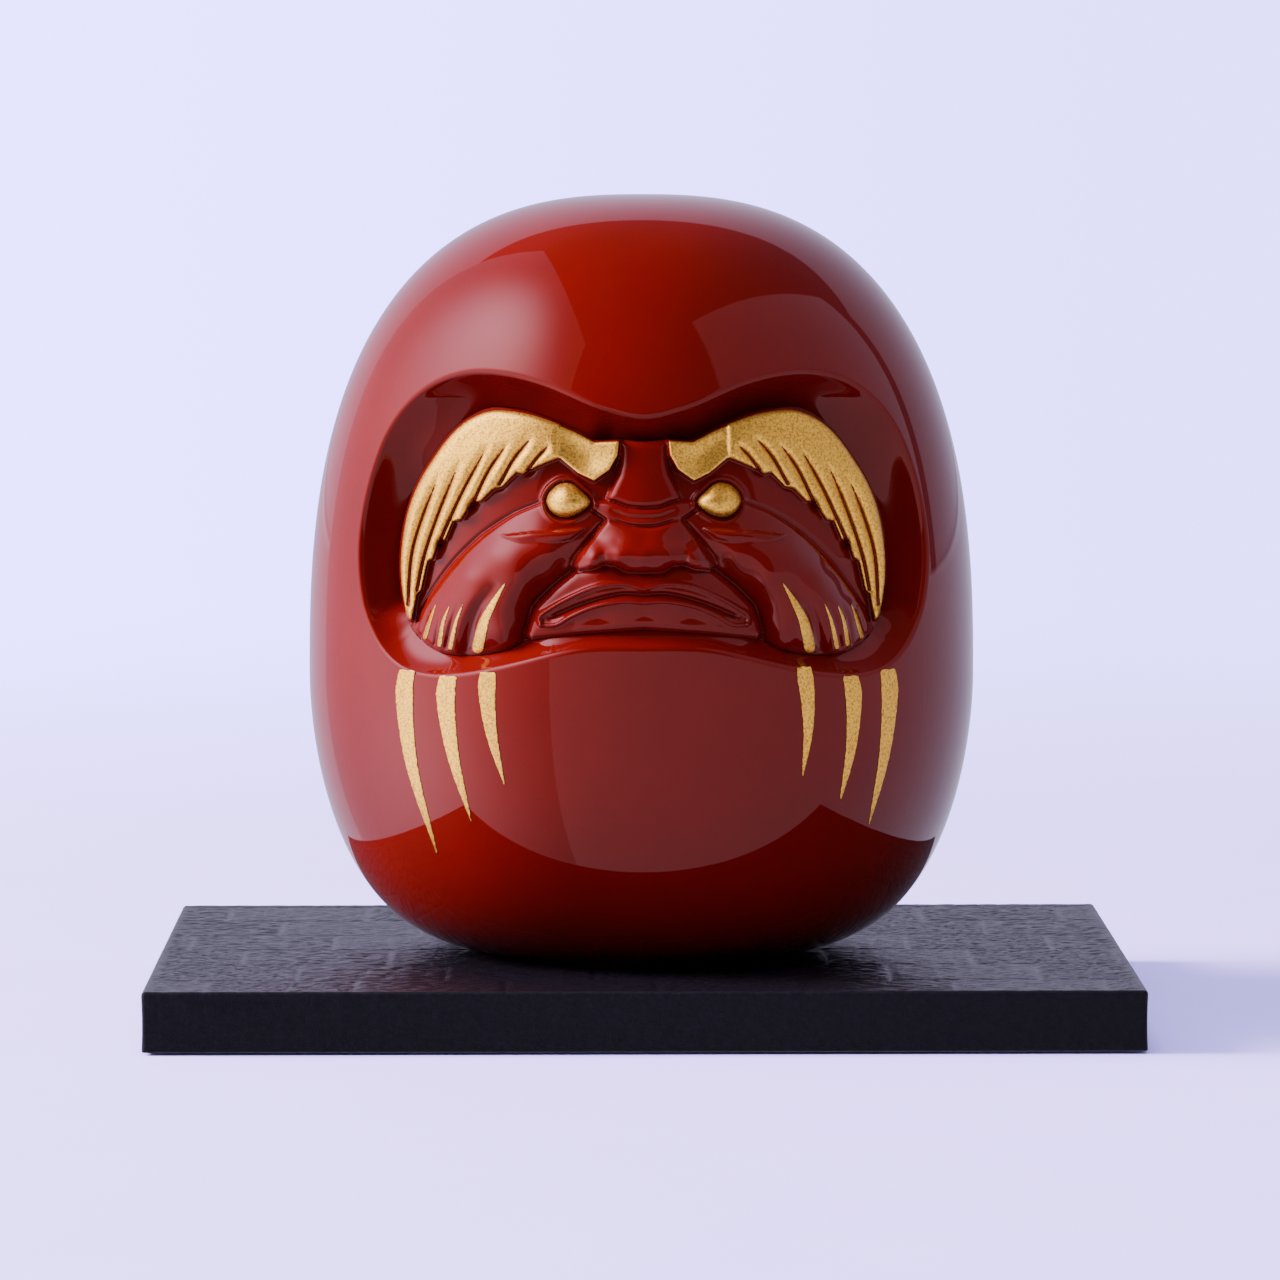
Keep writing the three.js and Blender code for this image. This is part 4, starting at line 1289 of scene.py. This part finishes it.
# The plain materials: dark and light colour, grain size, roughness and grain depth.
GRAINED = {
    "fibreboard": ((0.2, 0.12, 0.06), (0.36, 0.24, 0.14), 1.5, 0.85, 0.1 * MM),
    "backing_paper": ((0.02, 0.02, 0.022), (0.035, 0.035, 0.04), 2, 0.85, 0.05 * MM),
    "moulded_plate": ((0.012, 0.012, 0.013), (0.02, 0.02, 0.022), 4, 0.5, 0.03 * MM),
    "iron": ((0.05, 0.05, 0.052), (0.16, 0.155, 0.15), 0.9, 0.6, 0.08 * MM, 1.0),
    "steel": ((0.5, 0.5, 0.5), (0.66, 0.66, 0.65), 3, 0.3, 0.01 * MM, 1.0, (1, 1, 6)),
    "felt": ((0.008, 0.008, 0.009), (0.03, 0.03, 0.032), 2.4, 0.95, 0.2 * MM),
}
materials = {name: make_grained(name, *look) for name, look in GRAINED.items()}
materials["lacquer"] = make_lacquer()
materials["gold"] = make_gold()
materials["embossed_paper"] = make_embossed_paper()


def paint(piece, material):
    """Gives a piece this material and no other."""
    piece.data.materials.clear()
    piece.data.materials.append(material)


for piece in list(bpy.data.objects):
    if piece.type == "MESH" and "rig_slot" in piece:
        paint(piece, materials[piece["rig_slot"]])

# Nodes of the CAD model that show as they are.
CARRIED_OVER = {
    "board_core": "fibreboard",
    "underside_sheet": "backing_paper",
    "base_plate": "moulded_plate",
    "ballast_disc": "iron",
    "ballast_screw_1": "steel",
    "ballast_screw_2": "steel",
    "ballast_screw_3": "steel",
    "felt_pad": "felt",
}
for node, material in CARRIED_OVER.items():
    paint(frame["nodes"][node], materials[material])


# ---- Floor, studio and camera ----

FLOOR_RADIUS = 3.2
FLOOR_FADE = (0.25, 1.1)
FLOOR_COLOR = (0.52, 0.54, 0.86)
FLOOR_LIGHT = (0.54, 0.56, 0.88)


def make_floor():
    """A matt sheet that fades out with distance, so that the studio's sky shows through."""
    material, tree, bsdf = shader("studio_floor", FLOOR_COLOR, 0.6)
    bsdf.inputs["Specular IOR Level"].default_value = 0.15
    color = ramp(tree, noise(tree, 0.02, 3), [(0.3, FLOOR_COLOR), (0.7, FLOOR_LIGHT)])
    tree.links.new(color, bsdf.inputs["Base Color"])
    place = add_node(tree, "ShaderNodeTexCoord").outputs["Object"]
    distance = add_node(tree, "ShaderNodeVectorMath", {0: place}, operation="LENGTH")
    inputs = {"Value": distance.outputs["Value"], "From Min": FLOOR_FADE[0], "From Max": FLOOR_FADE[1]}
    faded = add_node(tree, "ShaderNodeMapRange", inputs, interpolation_type="SMOOTHSTEP")
    see_through = add_node(tree, "ShaderNodeBsdfTransparent")
    inputs = {0: faded.outputs["Result"], 1: bsdf.outputs["BSDF"], 2: see_through.outputs["BSDF"]}
    mixed = add_node(tree, "ShaderNodeMixShader", inputs)
    tree.links.new(mixed.outputs["Shader"], tree.nodes["Material Output"].inputs["Surface"])
    return material


# The gloss mirrors the studio's own floor, which is part of the world below the horizon.
bpy.ops.mesh.primitive_circle_add(vertices=96, radius=FLOOR_RADIUS, fill_type="NGON")
floor = bpy.context.object
floor.name = "studio_floor"
floor.data.materials.append(make_floor())
floor.visible_glossy = False

# Brightness of the studio's surfaces as the doll mirrors them.
STUDIO_TINT = (1, 0.92, 1.35)
BACKDROP_LEFT = 1.0
BACKDROP_RIGHT = 0.5
LEFT_PANEL = 0.6
LEFT_HOT = 10
RIGHT_PANEL = 0.62
FLOOR_SPILL = 3.4
ROOM = 0.16

# The even light on matt surfaces, and the colours that show behind the doll.
AMBIENT = (0.95, 0.72, 1.4)
SKY_LEFT = (3.3, 2.84, 10.9)
SKY_RIGHT = (2.55, 2.18, 7.1)
SKY_TURN = (-0.1, 0.07)

# The colour sockets of a mix node, by their place among its inputs and outputs.
MIX_FIRST = 6
MIX_SECOND = 7
MIX_RESULT = 2


class Field:
    """A number over all directions, built from math nodes with ordinary operators."""

    def __init__(self, tree, socket):
        self.tree = tree
        self.socket = socket

    def apply(self, operation, other=None):
        """This field put through a math node, with another field or number."""
        inputs = {0: self.socket}
        if other is not None:
            inputs[1] = other.socket if isinstance(other, Field) else other
        node = add_node(self.tree, "ShaderNodeMath", inputs, operation=operation)
        return Field(self.tree, node.outputs["Value"])

    def __add__(self, other):
        return self.apply("ADD", other)

    def __sub__(self, other):
        return self.apply("SUBTRACT", other)

    def __mul__(self, other):
        return self.apply("MULTIPLY", other)

    def __truediv__(self, other):
        return self.apply("DIVIDE", other)

    def step(self, edge, soft, rising):
        """A soft step at an edge: 0 to 1, or 1 to 0 where it isn't rising."""
        inputs = {"Value": self.socket, "From Min": edge - soft, "From Max": edge + soft}
        inputs["To Min"] = 0.0 if rising else 1.0
        inputs["To Max"] = 1.0 if rising else 0.0
        node = add_node(self.tree, "ShaderNodeMapRange", inputs, interpolation_type="SMOOTHSTEP")
        return Field(self.tree, node.outputs["Result"])

    def between(self, low, high, soft):
        """1 inside the range, 0 outside, with soft edges this wide."""
        return self.step(low, soft, True) * self.step(high, soft, False)


def mix_colors(tree, factor, first, second):
    """The first colour where the factor is 0 and the second where it is 1."""
    inputs = {"Factor": factor, MIX_FIRST: first, MIX_SECOND: second}
    return add_node(tree, "ShaderNodeMix", inputs, data_type="RGBA").outputs[MIX_RESULT]


def panel(x, y, z, azimuth, left, right, top, bottom=0, soft=0.02):
    """A vertical panel facing the doll: its mask, and the sideways and upward place on it."""
    turn = math.radians(azimuth)
    towards = x * math.sin(turn) - y * math.cos(turn)
    sideways = (x * math.cos(turn) + y * math.sin(turn)) / towards.apply("MAXIMUM", 1e-4)
    upwards = z / towards.apply("MAXIMUM", 1e-4)
    mask = towards.between(0.001, 9, 0.001) * sideways.between(left, right, soft)
    return mask * upwards.between(bottom, top, soft), sideways, upwards


def square(field):
    """A field times itself."""
    return field * field


def mirrored_studio(tree, x, y, z):
    """What the gloss mirrors in each direction: panels, backdrop, dark room and floor."""
    left, left_along, left_up = panel(x, y, z, -90, -1.28, 1.6, 2.57, bottom=-4)
    right, _, _ = panel(x, y, z, 56, -0.38, 2.1, 2.0)
    back, _, _ = panel(x, y, z, 180, -1.45, 0.79, 1.09)
    from_hot = square(left_along - 0.2) * 3.0 + square(left_up - 1.0) * 2.0
    hot = (from_hot * -1.0).apply("EXPONENT")
    middle = (BACKDROP_LEFT + BACKDROP_RIGHT) / 2
    backdrop = x * (BACKDROP_RIGHT - middle) * 1.4 + middle
    glow = left * (hot * LEFT_HOT + LEFT_PANEL) + right * RIGHT_PANEL + ROOM + back * backdrop
    below = z.between(-2, 0, 0.004) * (left * -1.0 + 1.0)
    glow = glow + below * (backdrop * 0.5 + y * -0.3 + 0.68)
    # The left panel's light on the floor beside the doll.
    spill = square(x + 1) * -3.0 + square(y + 0.15) * -4.0 + square(z + 0.3) * -6.0
    glow = glow + spill.apply("EXPONENT") * FLOOR_SPILL
    channels = zip(("Red", "Green", "Blue"), STUDIO_TINT)
    tinted = {channel: (glow * share).socket for channel, share in channels}
    return add_node(tree, "ShaderNodeCombineColor", tinted).outputs["Color"]


def make_studio():
    """A world that differs by ray: sky to the camera, even light to matt surfaces, else the studio."""
    world = bpy.data.worlds.new("studio")
    bpy.context.scene.world = world
    world.use_nodes = True
    tree = world.node_tree
    direction = add_node(tree, "ShaderNodeTexCoord").outputs["Generated"]
    parts = add_node(tree, "ShaderNodeSeparateXYZ", {"Vector": direction})
    x, y, z = (Field(tree, parts.outputs[axis]) for axis in "XYZ")
    inputs = {"Value": x.socket, "From Min": SKY_TURN[0], "From Max": SKY_TURN[1]}
    sky_share = add_node(tree, "ShaderNodeMapRange", inputs).outputs["Result"]
    sky = mix_colors(tree, sky_share, (*SKY_LEFT, 1), (*SKY_RIGHT, 1))
    rays = add_node(tree, "ShaderNodeLightPath").outputs
    mirrored = mirrored_studio(tree, x, y, z)
    unseen = mix_colors(tree, rays["Is Diffuse Ray"], mirrored, (*AMBIENT, 1))
    seen = mix_colors(tree, rays["Is Camera Ray"], unseen, sky)
    tree.links.new(seen, tree.nodes["Background"].inputs["Color"])


make_studio()


LIGHT_TARGET = Vector((0, 0, 0.05))


def add_fill(name, location, size, energy, color):
    """A large soft light that brightens matt surfaces without showing in the gloss."""
    light = bpy.data.lights.new(name, "AREA")
    light.shape = "DISK"
    light.size = size
    light.energy = energy
    light.color = color
    lamp = bpy.data.objects.new(name, light)
    lamp.location = location
    lamp.rotation_euler = (LIGHT_TARGET - lamp.location).to_track_quat("-Z", "Y").to_euler()
    lamp.visible_camera = False
    lamp.visible_glossy = False
    bpy.context.scene.collection.objects.link(lamp)


add_fill("key_light", (-2.1, 0.0, 1.1), 1.0, 560, (0.74, 0.47, 0.8))
add_fill("overhead_fill", (-0.2, -0.9, 2.3), 1.6, 85, (0.56, 0.48, 1.0))

CAMERA_PLACE = Vector((-11.4, -1368.3, 172.1)) * MM
CAMERA_DEGREES = (90 - 4.304, 0.05, -0.47)
camera_data = bpy.data.cameras.new("camera")
camera_data.sensor_width = 36
camera_data.lens = 205.8
camera_data.clip_end = 50
camera = bpy.data.objects.new("camera", camera_data)
camera.location = CAMERA_PLACE
camera.rotation_euler = Euler([math.radians(angle) for angle in CAMERA_DEGREES])
bpy.context.scene.collection.objects.link(camera)
bpy.context.scene.camera = camera
